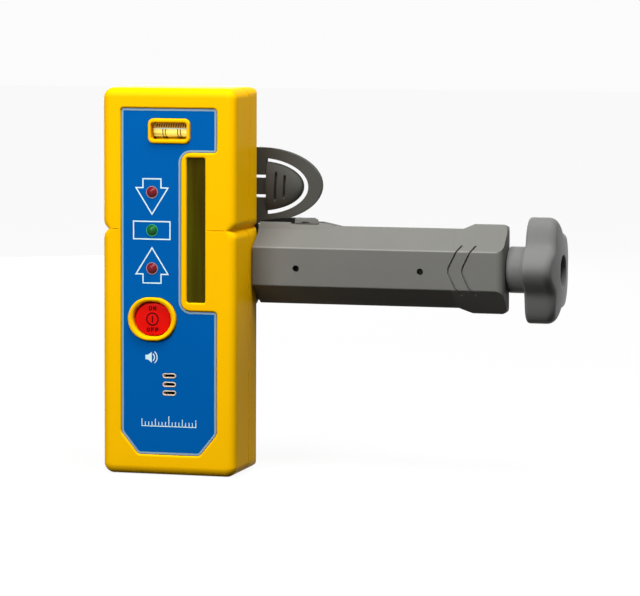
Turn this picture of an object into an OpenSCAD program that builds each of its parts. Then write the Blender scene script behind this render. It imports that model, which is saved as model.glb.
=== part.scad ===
// Laser receiver on a rod clamp.
// Each piece is drawn in the receiver's frame: x from the middle of the body,
// y back from its front face, z up from the on-grade line. All of it is then
// moved so that the origin is the middle of the fixed jaw's gripping face.

/* [Receiver body] */
// Width of the receiver
body_w = 59; // [56:0.5:66]
// Depth of the receiver, front to back
body_d = 39.5; // [38.5:0.5:46]
// Height of the receiver
body_h = 165; // [162:1:176]
// Depth of the front shell
split_y = 21.8; // [20.6:0.1:22.6]
// Wall of both shells
wall = 2.4; // [2:0.1:2.8]
// Corner radius seen from the front
corner_r = 4.5; // [3:0.5:6]
// Radius of the front edges
front_edge_r = 4; // [3:0.5:5]
// Radius of the rear edges
rear_edge_r = 7; // [4:0.5:7.5]
// Depth of the side notches at the on-grade line
notch_depth = 2.3; // [1:0.1:3]
// Height of the side notches
notch_h = 8; // [5:0.5:10]
// Width of the line scored across the front at the on-grade line
score_w = 0.6; // [0.4:0.1:1]
// Thickness of the gasket between the shells
seal_t = 0.6; // [0.3:0.1:1]

/* [Face label] */
// Width of the case left of the label
label_left_in = 8.6; // [7.5:0.1:9.5]
// Width of the case right of the label
label_right_in = 8.2; // [7.5:0.1:9.5]
// Height of the case above the label
label_top_in = 8.7; // [7:0.1:10]
// Height of the case below the label
label_bottom_in = 8.9; // [7:0.1:12]
// Width of the case between the label and the window
label_window_rim = 2.6; // [2:0.1:3]
// Height of the case between the label and the window's top
label_cut_rim_top = 2.3; // [1.6:0.1:3]
// Height of the case between the label and the window's lower end
label_cut_rim_low = 3.8; // [2:0.1:5]
// Width of the lower corner chamfers
label_chamfer_w = 7.5; // [4:0.5:10]
// Height of the lower corner chamfers
label_chamfer_h = 9.3; // [5:0.1:12]
// Depth of the recess that holds the label
recess_depth = 0.9; // [0.6:0.1:1.2]
// Thickness of the label
label_t = 0.3; // [0.2:0.05:0.4]

/* [Detector window] */
// Middle of the window, to the right of the body's middle
window_x = 12.2; // [12:0.1:13]
// Width of the window opening
window_w = 8.2; // [6:0.1:9]
// Height of the case above the window
window_top_in = 29.4; // [28.4:0.1:31]
// Height of the case below the window
window_low_in = 74.2; // [73:0.1:78]
// Depth of the pane below the front face
window_sink = 1.4; // [1:0.1:1.6]
// Thickness of the pane
window_t = 1.6; // [1:0.1:2.4]
// Width of the ledge that the pane sits on
window_ledge = 1; // [0.6:0.1:1.4]

/* [Spirit level] */
// Distance of the vial's middle from the body's top
vial_in = 18.2; // [17.8:0.1:18.6]
// Sideways place of the vial
vial_x = 0.4; // [-1:0.1:1]
// Width of the vial bezel
vial_bezel_w = 18.6; // [17.5:0.1:20]
// Height of the vial bezel
vial_bezel_h = 10.6; // [10:0.1:11]
// Width of the vial opening
vial_open_w = 14.9; // [13:0.1:15.4]
// Height of the vial opening
vial_open_h = 6.4; // [5:0.1:7]
// Height of the vial bezel above the front face
vial_rise = 0.5; // [0.2:0.1:1]
// Outer radius of the vial
vial_r = 3.3; // [3:0.1:3.4]
// Wall of the vial
vial_wall = 0.8; // [0.6:0.1:1]
// Length of the bubble
bubble_l = 5; // [3.5:0.1:6]

/* [Indicator lamps] */
// Sideways place of the lamps
led_x = -7.25; // [-8:0.05:-7]
// Height of the middle lamp from the on-grade line
led_mid_z = -0.3; // [-0.6:0.1:0.2]
// Step from lamp to lamp, as a share of the window's height
led_step_share = 0.264; // [0.24:0.002:0.28]
// Radius of a lamp
led_r = 2.5; // [2:0.1:2.7]
// Height of a lamp's tip above the front face
led_rise = 0.6; // [0.2:0.1:1]

/* [Power button] */
// Distance of the button's middle below the window
button_in = 7.4; // [6.8:0.1:8]
// Width of the label left of the button bezel
button_left_in = 3.05; // [2.6:0.05:3.4]
// Width of the label right of the button bezel, up to the window's cut-out
button_right_in = 1.85; // [1.5:0.05:2.4]
// Height of the button bezel, as a share of its width
button_bezel_h_share = 0.8605; // [0.84:0.0005:0.88]
// Height of the button bezel above the front face
button_rise = 0.9; // [0.4:0.1:1.4]
// Width of the bezel left and right of the red cap
cap_rim_w = 2.7; // [2.4:0.1:3.2]
// Height of the bezel above and below the red cap
cap_rim_h = 2.15; // [2:0.05:2.6]
// Depth of the cap below the front face
cap_sink = 0.6; // [0.2:0.1:1]
// Travel of the cap
button_travel = 1.2; // [0.6:0.1:1.4]

/* [Sounder] */
// Sideways place of the sounder
sounder_x = 0.4; // [-1:0.1:1]
// Distance of the middle slot below the button's middle
sounder_in = 27.75; // [27:0.05:29]
// Step from slot to slot
slot_step = 3.7; // [3.4:0.1:4.2]
// Width of a slot's rim
slot_rim_w = 6; // [5:0.1:7]
// Height of a slot's rim
slot_rim_h = 2.2; // [1.8:0.1:2.6]
// Width of a rim's edge
slot_edge = 0.45; // [0.3:0.05:0.6]
// Radius of the buzzer
buzzer_r = 7.5; // [6:0.5:9]
// Thickness of the buzzer
buzzer_t = 5; // [4:0.5:6]

/* [Circuit boards] */
// Depth of the main board's front below the front face
board_y = 11; // [10.8:0.1:12]
// Thickness of the boards
board_t = 1.6; // [1:0.1:1.8]
// Room between the main board and the body's sides
board_side_in = 7.5; // [7:0.5:8.5]
// Room between the main board and the body's top
board_top_in = 12; // [11.5:0.5:14]
// Room between the main board and the body's base
board_low_in = 25; // [17:0.5:27]
// Height of the detector board above and below the window
sensor_margin = 2.3; // [1.2:0.1:2.3]
// Width of the detector board
sensor_board_w = 12; // [10:0.5:12]
// Least gap between two detector cells
diode_gap = 2; // [1.5:0.1:2.2]
// Side of a detector cell
diode_w = 5.4; // [4:0.1:6]
// Thickness of a detector cell
diode_t = 1.2; // [0.8:0.1:1.4]

/* [Batteries] */
// Diameter of an AA cell
cell_d = 14.5; // [14:0.1:14.5]
// Length of an AA cell without its button
cell_l = 49.2; // [48:0.1:49.2]
// Inside width of the battery box
bay_w = 31; // [30:0.5:32]
// Inside length of the battery box
bay_l = 57.5; // [56.5:0.5:58]
// Height of the battery box's inside above the body's base
bay_in = 10.8; // [10.6:0.1:11]
// Wall of the battery box
box_wall = 3; // [2.4:0.1:3]
// Width of the ledge under the door's edge
door_ledge = 1.6; // [1:0.1:1.8]
// Radius of the door's hinge pin
door_pin_r = 0.6; // [0.4:0.05:0.65]
// Radius of the door's thumb notch
thumb_r = 7; // [5:0.5:9]

/* [Clamp plate] */
// Thickness of the plate behind the receiver
base_t = 6; // [5.4:0.1:7]
// Thickness of the D-shaped wing
wing_t = 3.6; // [3.2:0.1:4]
// Reach of the wing past the receiver's side
wing_reach = 28; // [26:0.5:32]
// Half height of the wing
wing_half_h = 16.2; // [16:0.1:18]
// Height of the wing's middle above the on-grade line
wing_z = 17.7; // [17.5:0.1:19]
// Width of the rim around the tongue's opening
wing_rim = 6.6; // [5:0.1:7]
// Width of the slot around the tongue
tongue_slot = 1.5; // [1.2:0.1:2]
// Width of the slot at the tongue's tip
tongue_tip_slot = 2.6; // [1.6:0.1:3]
// Height of the tongue's neck
neck_h = 7.2; // [6:0.2:9]
// Gap on each side of the neck
neck_gap = 1.3; // [0.8:0.1:1.6]
// Distance of the tongue's pin from the receiver's side
tongue_pin_in = 25.5; // [24:0.5:27]
// Radius of the tongue's pin
tongue_pin_r = 0.8; // [0.6:0.05:0.9]
// Width of the dovetail rail on the receiver's back
rail_w = 15; // [13:0.5:16]
// Height of the dovetail rail from the receiver's back
rail_t = 3; // [2:0.1:3.2]

/* [Arm] */
// Depth of the arm over its front and back flats
arm_d = 29; // [28:0.5:34]
// Height of the arm's front flat
arm_face_h = 16.4; // [15:0.2:18]
// Height of the arm over its sharp ridges
arm_ridge_h = 35.8; // [34.6:0.1:37]
// Radius of the arm's ridges
arm_ridge_r = 4.5; // [2:0.5:6]
// Length of the arm with its collar
arm_l = 109.3; // [107:0.1:120]
// Distance that the arm reaches forward past the receiver's back
arm_forward = 14.8; // [13:0.1:16]
// Height of the arm's axis below the on-grade line
axis_drop = 16.4; // [16:0.1:17]
// Wall of the arm
arm_wall = 3; // [2.4:0.1:3.4]
// Length of the collar
collar_l = 15; // [14:0.2:18]
// Length of the ramp up to the collar
ramp_l = 6; // [3:0.5:8]
// Height of the collar above the arm's ridges
collar_rise = 2.6; // [1:0.1:3]
// Radius of the collar's outer end
collar_end_r = 3.4; // [2:0.2:4]
// Angle of the two curved grooves' legs in the collar
chevron_angle = 26; // [15:1:40]
// Radius of a groove's tip
chevron_r = 5; // [3:0.5:8]
// Half height of a groove, measured along the arm's surface
chevron_half = 12; // [9:0.5:14]
// Step between the two grooves
chevron_step = 6; // [4:0.2:7]
// Width of a groove
chevron_w = 0.9; // [0.6:0.1:1.2]
// Depth of a groove
chevron_depth = 0.8; // [0.4:0.1:1.2]
// Distance of the first groove's tip from the arm's outer end
chevron_in = 24.4; // [22:0.2:26]
// Radius of the two pin holes in the arm's front
arm_pin_r = 1.4; // [1:0.1:1.6]
// Distance of the first pin from the arm's root
arm_pin_near = 19.2; // [18:0.2:21]
// Distance of the second pin from the arm's root
arm_pin_far = 73.6; // [70:0.2:76]

/* [Screw and knob] */
// Radius of the clamp screw
screw_r = 4; // [3.5:0.1:4.4]
// Travel of the jaw in one turn of the screw
screw_pitch = 3; // [2:0.5:4]
// Radius of the screw's shank in the collar
shank_r = 5; // [4.6:0.1:5.6]
// Radius of the knob's neck
neck_r = 9.9; // [9:0.1:11]
// Length of the knob's neck
neck_l = 9.4; // [8:0.2:13]
// Thickness of the knob behind its crown
knob_t = 13.9; // [12.5:0.1:18]
// Radius of the knob at its lobes
knob_lobe_r = 23.3; // [21:0.1:27]
// Radius of the knob between its lobes
knob_valley_r = 17.6; // [15:0.1:19]
// Number of lobes
knob_lobes = 5; // [3:1:7]
// Turn of the lobes about the screw
knob_turn = 2; // [0:1:71]
// Radius of the knob's rounded outer edge
knob_edge_r = 5.5; // [3:0.5:7]
// Height of the crown on the knob's end
knob_crown = 1.3; // [0.5:0.1:2.5]
// Radius of the recess in the knob's end
knob_recess_r = 6.6; // [5.5:0.1:8]
// Depth of the recess in the knob's end
knob_recess_d = 4; // [3:0.2:6]

/* [Jaws] */
// Distance of the fixed jaw's face from the arm's root
jaw_face_in = 33.8; // [33:0.2:36]
// Opening of the jaws as shown
jaw_gap = 30; // [26:1:30]
// Closing travel of the moving jaw from there
jaw_close = 28; // [10:1:28]
// Opening travel of the moving jaw from there
jaw_open = 12; // [4:1:12]
// Reach of the jaws behind the arm
jaw_reach = 26; // [20:1:32]
// Half height of the jaws
jaw_half_h = 13.2; // [11:0.2:13.4]
// Thickness of the jaws
jaw_t = 10; // [8:0.5:11]
// Thickness of the jaw pads
pad_t = 2; // [1.5:0.1:3]
// Thickness of the fixed jaw's flange on the arm
flange_t = 4; // [3:0.2:5]
// Height of the slot in the arm's back
jaw_slot_h = 10; // [8:0.5:11]
// Length of the moving jaw's carriage
carriage_l = 20; // [18:0.5:21]

/* [Hidden] */
$fn = 48;

// Colours
case_yellow = [0.98, 0.79, 0.02];
label_blue = [0.0, 0.36, 0.68];
clamp_grey = [0.46, 0.46, 0.44];
board_green = [0.1, 0.35, 0.2];
steel = [0.72, 0.72, 0.74];
bronze = [0.72, 0.52, 0.28];
soft_black = [0.08, 0.08, 0.08];

// Overrun of cuts, and the clearances
over = 1;
small_r = 0.4;
trim_gap = 0.15;
run_gap = 0.05;
seat_gap = 0.02;
free_gap = 0.3;
slide_gap = 0.35;
arc_steps = 6;

// Body
half_w = body_w / 2;
window_h = body_h - window_top_in - window_low_in;
grade_h = window_low_in + window_h / 2;
base_z = -grade_h;
top_z = body_h - grade_h;
mid_z = (base_z + top_z) / 2;
front_shell_y = split_y - seal_t / 2;
rear_shell_y = split_y + seal_t / 2;
back_in_y = body_d - wall;
seal_inset = 0.5;
seal_w = 1.4;
score_depth = 0.35;
notch_steps = 6;
notch_r = (pow(notch_depth, 2) + pow(notch_h / 2, 2)) / (2 * notch_depth);
notch_pad_t = notch_depth;
notch_pad_h = notch_h + 2 * wall;

// Case screws
case_screw_r = 1.3;
case_head_r = 2.3;
case_head_h = 2;
case_screw_sink = 3;
case_boss_r = 3;
rear_boss_r = 3.6;
case_boss_in = 5.1;
case_boss_x = half_w - case_boss_in;
case_boss_zs = [top_z - case_boss_in, base_z + case_boss_in];
case_tip_y = 9.5;

// Label
label_r = 1.3;
label_chamfer_r = 2.6;
label_cut_r = 4.4;
label_y = recess_depth - label_t;
label_left = half_w - label_left_in;
label_right = half_w - label_right_in;
label_top = top_z - label_top_in;
label_bottom = grade_h - label_bottom_in;
label_inner = window_x - window_w / 2 - label_window_rim;
label_cut_top = window_h / 2 + label_cut_rim_top;
label_cut_low = window_h / 2 + label_cut_rim_low;
window_cut_w = window_w + 2 * window_ledge;
window_cut_h = window_h + 2 * window_ledge;
window_corner_r = 0.8;

// Spirit level
trim_lip = 1;
trim_t = 1.2;
trim_back_y = wall + trim_t;
vial_bezel_r = 2.5;
vial_open_r = 1.2;
vial_ear_t = 1.4;
vial_y = trim_back_y + free_gap + vial_r;
vial_z = top_z - vial_in;
vial_ear_x = vial_open_w / 2 + vial_ear_t;
vial_l = 2 * vial_ear_x;
vial_ear_half = vial_r + vial_ear_t;
vial_ear_y = min(vial_y + vial_ear_half, board_y - free_gap);
bubble_r = 1;
bubble_up = vial_r - vial_wall - bubble_r - free_gap;

// Indicator lamps
led_step = led_step_share * window_h;
led_flange_t = 1;
led_lip = 0.4;
led_flange_r = led_r + led_lip;
led_leg = 0.6;
led_leg_x = led_r / 2;
led_back_y = wall + led_flange_t;
led_l = led_back_y + led_rise;

// Power button
button_left = label_left - button_left_in;
button_right = label_inner - button_right_in;
button_x = (button_right - button_left) / 2;
button_bezel_w = button_right + button_left;
button_bezel_h = button_bezel_h_share * button_bezel_w;
cap_w = button_bezel_w - 2 * cap_rim_w;
cap_h = button_bezel_h - 2 * cap_rim_h;
button_z = -window_h / 2 - button_in;
cap_gap = 0.3;
cap_lip = 1;
cap_flange_t = 1.2;
cap_flange_y = trim_back_y + free_gap;
cap_back_y = cap_flange_y + cap_flange_t + cap_lip;
tact_w = 6;
tact_t = 3;
tact_plunger_r = 1.7;
tact_top_y = cap_back_y + button_travel + trim_gap;

// Sounder
sounder_z = button_z - sounder_in;
slot_rim_y = label_y - trim_gap;
grille_margin = 2;
grille_w = slot_rim_w + 2 * grille_margin;
grille_h = 2 * slot_step + slot_rim_h + 2 * grille_margin;

// Boards
board_w = body_w - 2 * board_side_in;
board_top = top_z - board_top_in;
board_bottom = grade_h - board_low_in;
sensor_board_h = window_h + 2 * sensor_margin;
board_screw_r = 1.2;
board_head_r = 2.2;
board_head_h = 0.5;
board_boss_r = 2.8;
board_boss_in = 3;
board_boss_x = board_w / 2 - board_boss_in;
board_boss_zs = [board_top - board_boss_in, board_boss_in - board_bottom];
board_screw_l = 6;
sensor_front_y = window_sink + window_t + 3 * diode_t;
sensor_back_y = sensor_front_y + board_t;
spacer_r = 2;
spacer_z = sensor_board_h / 2 - 1.5 * spacer_r;
diode_count = floor(window_h / (diode_w + diode_gap));
diode_step = window_h / diode_count;

// Batteries
cell_r = cell_d / 2;
cell_x = bay_w / 4;
cell_nub_r = 2.75;
cell_nub_l = 1.3;
plate_t = 0.6;
plate_w = 11;
bay_z = base_z + bay_in + bay_l / 2;
bay_top = bay_z + bay_l / 2;
bay_low = bay_z - bay_l / 2;
spring_r = 4;
spring_tip_r = 2.6;
spring_wire = 0.8;
spring_l = bay_l - 2 * plate_t - cell_l - cell_nub_l - trim_gap;
cell_y = back_in_y - cell_r - 2 * seal_t;
box_floor_t = 1.2;
box_floor_y = cell_y - cell_r - free_gap - box_floor_t;
door_gap = 0.3;
door_t = wall - door_gap;
door_half_w = bay_w / 2 + door_ledge;
door_top = bay_top - door_gap;
hinge_r = door_t / 2;
hinge_y = body_d - hinge_r;
hinge_z = bay_low + hinge_r + door_gap;
door_pin_hold = 3;
door_seal_t = 0.8;
door_seal_w = 1.5;
thumb_depth = door_t / 2;

// Clamp plate
plate_y = body_d;
plate_back_y = plate_y + base_t;
base_corner_r = 2.5;
base_left_in = 6.5;
base_margin = 0.8;
base_left = half_w - base_left_in;
base_right = half_w - base_corner_r;
base_low = axis_drop + arm_ridge_h / 2 + base_margin;
base_top = wing_z + wing_half_h;
wing_in = 0.8;
wing_x = half_w - wing_in;
wing_rise = arm_ridge_h / 2 - axis_drop - small_r;
rim_share = 0.6;
opening_in = 2.4;
opening_a = wing_reach + wing_in - wing_rim;
opening_b = wing_half_h - rim_share * wing_rim;
opening_x = half_w + opening_in;
tongue_drop = 0.6;
tongue_z = wing_z - tongue_drop;
tongue_front = 0.6;
tongue_gap = 0.4;
tongue_t = wing_t - 2 * tongue_gap;
tongue_pin_x = half_w - tongue_pin_in;
tongue_barrel_r = tongue_t / 2;
tongue_pin_y = plate_y + tongue_gap + tongue_barrel_r;
tongue_pin_hold = 4;
neck_cut_h = neck_h + 2 * neck_gap;
neck_cut_x = tongue_pin_x - tongue_barrel_r - free_gap;
nub_step = 15;
nub_x = tongue_pin_x + nub_step;
nub_w = 3;
nub_h = 5;
nub_rise = 0.9;
groove_w = 0.8;
groove_depth = 0.7;
groove_ins = [7.2, 11];
groove_h_shares = [0.5, 0.41];
oval_steps = 28;
rail_margin = 2;
rail_low = base_low - rail_margin;
rail_top = rail_margin;
rail_flare = 2;
rail_gap = 0.15;

// Arm
root_gap = 0.7;
arm_x = half_w + root_gap;
arm_end_x = arm_x + arm_l;
arm_y = body_d - arm_forward;
arm_back_y = arm_y + arm_d;
axis_y = arm_y + arm_d / 2;
axis_z = -axis_drop;
arm_edge_r = 0.8;
facet_rise = arm_ridge_h / 2 - arm_face_h / 2;
facet_slope = atan2(facet_rise, arm_d / 2);
ridge_in = arm_wall / cos(facet_slope);
collar_x = arm_end_x - collar_l;
cavity_x = arm_x + jaw_face_in - pad_t;
end_wall = 8;
slot_end_in = 9;
cavity_end_x = arm_end_x - end_wall;
jaw_slot_end = cavity_end_x - slot_end_in;
end_cut = 4;
arm_pin_drop = 0.7;
arm_pin_z = axis_z - arm_pin_drop;
root_margin = 2;
root_left = base_left - root_margin;
root_half_h = axis_drop;
plate_screw_r = 2;
plate_head_r = 3.5;
plate_head_h = 3;
plate_screw_bite = 4.5;
plate_screw_in = 4;
plate_screw_xs = [plate_screw_in - root_left, root_left - plate_screw_in];
plate_screw_step = 17;
plate_screw_zs = [axis_z + plate_screw_step / 2, axis_z - plate_screw_step / 2];
arm_pin_sink = 2.4;
near_pin_x = arm_x + arm_pin_near;
far_pin_x = arm_x + arm_pin_far;

// Screw
tail_r = 3;
tail_l = 8;
tail_bush_t = 1.4;
shank_in = 5;
shank_x = cavity_end_x - shank_in;
bush_t = 2;
bush_flange_t = 1;
thrust_t = 3;
thrust_r = 8;
knob_x = arm_end_x + free_gap;
lobe_x = knob_x + neck_l;
knob_end_x = lobe_x + knob_t;
knob_mid_r = (knob_lobe_r + knob_valley_r) / 2;
knob_swing = (knob_lobe_r - knob_valley_r) / 2;
knob_steps = 80;
knob_back_r = 1.6;
knob_screw_r = 2.5;
knob_head_r = 4.4;
knob_head_h = 3;
knob_screw_l = 10;
knob_web = 1.2;
shank_end_x = knob_end_x - knob_recess_d - knob_crown - knob_web;

// Jaws
jaw_face_x = arm_x + jaw_face_in;
moving_face_x = jaw_face_x + jaw_gap;
jaw_back_y = arm_back_y + jaw_reach;
jaw_mid_y = (arm_back_y + flange_t + jaw_back_y) / 2;
jaw_corner_r = 3;
pad_margin = 1.2;
guide_t = 2;
carriage_x = moving_face_x - pad_t;
carriage_neck_x = moving_face_x + pad_t;
nut_r = 6.2;
nut_inset = 2;
hump_l = 31;
hump_slope = 8.5;
hump_drop = 1.8;
tab_w = 11.5;
tab_in = 11;
tab_x = near_pin_x - tab_in;
tab_rise = 1.6;
tab_t = 0.9;
tab_leg = 1.6;
tab_slot = 1.4;
rib_t = 4;

echo(jaw_turns_closing = jaw_close / screw_pitch, jaw_turns_opening = jaw_open / screw_pitch);

// Shapes
module rounded_rect(w, h, r) {
  square([w - 2 * r, h], center = true);
  square([w, h - 2 * r], center = true);
  for (sx = [-1, 1], sy = [-1, 1])
    translate([sx * (w / 2 - r), sy * (h / 2 - r)]) circle(r = r);
}

module stadium(w, h) {
  square([w - h, h], center = true);
  for (s = [-1, 1])
    translate([s * (w - h) / 2, 0]) circle(r = h / 2);
}

module y_span(y0, y1) {
  translate([0, y1, 0]) rotate([90, 0, 0]) linear_extrude(height = y1 - y0) children();
}

module x_span(x0, x1) {
  translate([x0, 0, 0]) rotate([90, 0, 90]) linear_extrude(height = x1 - x0) children();
}

module z_span(z0, z1) {
  translate([0, 0, z0]) linear_extrude(height = z1 - z0) children();
}

module block(x0, x1, y0, y1, z0, z1) {
  translate([x0, y0, z0]) cube([x1 - x0, y1 - y0, z1 - z0]);
}

module rod_y(x, z, y0, y1, r) {
  translate([x, y0, z]) rotate([-90, 0, 0]) cylinder(h = y1 - y0, r = r);
}

module rod_x(y, z, x0, x1, r) {
  translate([x0, y, z]) rotate([0, 90, 0]) cylinder(h = x1 - x0, r = r);
}

module rod_z(x, y, z0, z1, r) {
  translate([x, y, z0]) cylinder(h = z1 - z0, r = r);
}

module in_part_frame() {
  translate([-jaw_face_x, -jaw_mid_y, -axis_z]) children();
}

// Points of a rounded corner b between its neighbours a and c
function corner_arc(a, b, c, r) =
  let (u = (a - b) / norm(a - b), v = (c - b) / norm(c - b))
  let (half = acos(u * v) / 2, mid = (u + v) / norm(u + v))
  let (centre = b + mid * r / sin(half), p = b + u * r / tan(half), q = b + v * r / tan(half))
  let (start = atan2(p.y - centre.y, p.x - centre.x), end = atan2(q.y - centre.y, q.x - centre.x))
  let (sweep = (end - start + 540) % 360 - 180)
  [for (i = [0 : arc_steps]) let (w = start + sweep * i / arc_steps) centre + r * [cos(w), sin(w)]];

function rounded_path(points, radii) =
  let (n = len(points))
  [for (i = [0 : n - 1])
    each corner_arc(points[(i + n - 1) % n], points[i], points[(i + 1) % n], radii[i])];

// Right half of an oval, cut off at the line x = left
function half_oval(cx, cz, a, b, left) =
  let (stop = acos((left - cx) / a))
  [for (i = [0 : oval_steps]) let (w = stop - 2 * stop * i / oval_steps) [cx + a * cos(w), cz + b * sin(w)]];

// Body forms
module edge_profile(d, v, front_r, rear_r) {
  translate([front_r, -v / 2]) square([d - front_r - rear_r, v]);
  translate([0, front_r - v / 2]) square([d / 2, v - 2 * front_r]);
  translate([d / 2, rear_r - v / 2]) square([d / 2, v - 2 * rear_r]);
  for (s = [-1, 1]) {
    translate([front_r, s * (v / 2 - front_r)]) circle(r = front_r);
    translate([d - rear_r, s * (v / 2 - rear_r)]) circle(r = rear_r);
  }
}

module body_form(inset) {
  d = body_d - 2 * inset;
  w = body_w - 2 * inset;
  h = body_h - 2 * inset;
  front_r = max(front_edge_r - inset, small_r);
  rear_r = max(rear_edge_r - inset, small_r);
  intersection() {
    translate([0, 0, mid_z]) y_span(inset, body_d - inset)
      rounded_rect(w, h, max(corner_r - inset, small_r));
    translate([0, inset, mid_z]) x_span(-half_w, half_w) edge_profile(d, h, front_r, rear_r);
    translate([0, inset, mid_z]) z_span(-body_h / 2, body_h / 2) rotate(90)
      edge_profile(d, w, front_r, rear_r);
  }
}

module body_slab(y0, y1) {
  block(-half_w - over, half_w + over, y0, y1, base_z - over, top_z + over);
}

// Two round shoulders that leave the side upright and meet in a sharp valley
function notch_edge(s) =
  [for (i = [-notch_steps : notch_steps])
    let (z = notch_h / 2 * i / notch_steps, rise = notch_h / 2 - abs(z))
    [s * (half_w - notch_r + sqrt(pow(notch_r, 2) - pow(rise, 2))), z]];

module side_notches(y0, y1) {
  y_span(y0, y1)
    for (s = [-1, 1])
      polygon(concat([[s * (half_w + over), -notch_h / 2]], notch_edge(s),
        [[s * (half_w + over), notch_h / 2]]));
}

module notch_pads(y0, y1) {
  for (s = [-1, 1])
    translate([s * (half_w - wall - notch_pad_t / 2), 0, 0])
      block(-notch_pad_t, notch_pad_t, y0, y1, -notch_pad_h / 2, notch_pad_h / 2);
}

function label_points(g) = [
  [-label_left - g, label_top + g], [label_right + g, label_top + g],
  [label_right + g, label_cut_top - g], [label_inner + g, label_cut_top - g],
  [label_inner + g, g - label_cut_low], [label_right + g, g - label_cut_low],
  [label_right + g, label_chamfer_h - label_bottom],
  [label_right - label_chamfer_w, -label_bottom - g],
  [label_chamfer_w - label_left, -label_bottom - g],
  [-label_left - g, label_chamfer_h - label_bottom]];

label_radii = [label_r, label_r, label_r, label_cut_r, label_cut_r,
  label_r, label_chamfer_r, label_chamfer_r, label_chamfer_r, label_chamfer_r];

module label_outline(g) {
  polygon(rounded_path(label_points(g), label_radii));
}

module vial_bezel_outline(g) {
  translate([vial_x, vial_z])
    rounded_rect(vial_bezel_w + 2 * g, vial_bezel_h + 2 * g, vial_bezel_r + g);
}

module button_bezel_outline(g) {
  translate([button_x, button_z]) stadium(button_bezel_w + 2 * g, button_bezel_h + 2 * g);
}

module slot_outlines(g) {
  for (i = [-1 : 1])
    translate([sounder_x, sounder_z + i * slot_step]) stadium(slot_rim_w + 2 * g, slot_rim_h + 2 * g);
}

module led_circles(g) {
  for (i = [-1 : 1])
    translate([led_x, led_mid_z + i * led_step]) circle(r = led_r + g);
}

module window_outline(w, h) {
  translate([window_x, 0]) rounded_rect(w, h, window_corner_r);
}

module at_case_bosses() {
  for (s = [-1, 1], z = case_boss_zs)
    translate([s * case_boss_x, 0, z]) children();
}

module at_board_bosses() {
  for (s = [-1, 1], z = board_boss_zs)
    translate([s * board_boss_x, 0, z]) children();
}

// Receiver pieces
module front_case() color(case_yellow) in_part_frame() {
  difference() {
    union() {
      intersection() {
        body_form(0);
        union() {
          difference() {
            body_slab(-over, front_shell_y);
            body_form(wall);
          }
          notch_pads(wall / 2, front_shell_y);
          at_case_bosses() rod_y(0, 0, wall / 2, front_shell_y, case_boss_r);
          at_board_bosses() rod_y(0, 0, wall / 2, board_y, board_boss_r);
        }
      }
    }
    side_notches(-over, front_shell_y + over);
    block(-half_w - over, -label_left - label_r, -over, score_depth, -score_w / 2, score_w / 2);
    block(window_x + window_w / 2 + label_r, half_w + over, -over, score_depth, -score_w / 2, score_w / 2);
    y_span(-over, recess_depth) label_outline(trim_gap);
    y_span(-over, wall + over) {
      vial_bezel_outline(trim_gap);
      button_bezel_outline(trim_gap);
      slot_outlines(trim_gap);
      led_circles(trim_gap);
      window_outline(window_w, window_h);
    }
    y_span(window_sink, wall + over)
      window_outline(window_cut_w + 2 * trim_gap, window_cut_h + 2 * trim_gap);
    at_case_bosses() rod_y(0, 0, case_tip_y - over, front_shell_y + over, case_screw_r + run_gap);
    at_board_bosses() rod_y(0, 0, board_y - board_screw_l, board_y + over, board_screw_r + run_gap);
  }
}

module rail_outline(g) {
  narrow = rail_w / 2 + g;
  wide = narrow + rail_flare;
  root_y = plate_y - wall / 2;
  top_y = plate_y + rail_t + g;
  polygon([[-narrow, root_y], [-narrow, plate_y], [-wide, top_y],
    [wide, top_y], [narrow, plate_y], [narrow, root_y]]);
}

module rear_case() color(case_yellow) in_part_frame() {
  difference() {
    union() {
      intersection() {
        body_form(0);
        union() {
          difference() {
            body_slab(rear_shell_y, body_d + over);
            body_form(wall);
          }
          notch_pads(rear_shell_y, body_d - wall / 2);
          at_case_bosses() rod_y(0, 0, rear_shell_y, body_d, rear_boss_r);
        }
      }
      z_span(-rail_low, rail_top) rail_outline(0);
    }
    side_notches(rear_shell_y - over, body_d + over);
    block(-door_half_w - door_gap, door_half_w + door_gap, back_in_y - over, body_d + over, bay_low, bay_top);
    rod_x(hinge_y, hinge_z, -door_half_w - door_pin_hold, door_half_w + door_pin_hold, door_pin_r + seat_gap);
    translate([nub_x, 0, tongue_z])
      block(-nub_w / 2 - tongue_gap, nub_w / 2 + tongue_gap, plate_y - nub_rise - free_gap, plate_y + over,
        -nub_h / 2 - tongue_gap, nub_h / 2 + tongue_gap);
    at_case_bosses() {
      rod_y(0, 0, rear_shell_y - over, body_d, case_screw_r + trim_gap);
      rod_y(0, 0, body_d - case_screw_sink, body_d + over, case_head_r + free_gap);
    }
  }
}

module case_seal() color(soft_black) in_part_frame() {
  outer_w = body_w - 2 * seal_inset;
  outer_h = body_h - 2 * seal_inset;
  difference() {
    union() {
      translate([0, 0, mid_z]) y_span(front_shell_y, rear_shell_y)
        difference() {
          rounded_rect(outer_w, outer_h, corner_r - seal_inset);
          rounded_rect(outer_w - 2 * seal_w, outer_h - 2 * seal_w, corner_r - seal_inset - seal_w);
        }
      notch_pads(front_shell_y, rear_shell_y);
    }
    side_notches(front_shell_y - over, rear_shell_y + over);
  }
}

module case_screws() color(steel) in_part_frame() {
  seat = body_d - case_screw_sink;
  at_case_bosses() {
    rod_y(0, 0, case_tip_y, seat, case_screw_r);
    rod_y(0, 0, seat, seat + case_head_h, case_head_r);
  }
}

module face_label() color(label_blue) in_part_frame() {
  y_span(label_y, recess_depth) difference() {
    label_outline(0);
    vial_bezel_outline(2 * trim_gap);
    button_bezel_outline(2 * trim_gap);
    slot_outlines(2 * trim_gap);
    led_circles(2 * trim_gap);
  }
}

module sensor_window() color([0.22, 0.2, 0.02]) in_part_frame() {
  y_span(window_sink, window_sink + window_t) window_outline(window_cut_w, window_cut_h);
}

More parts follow.
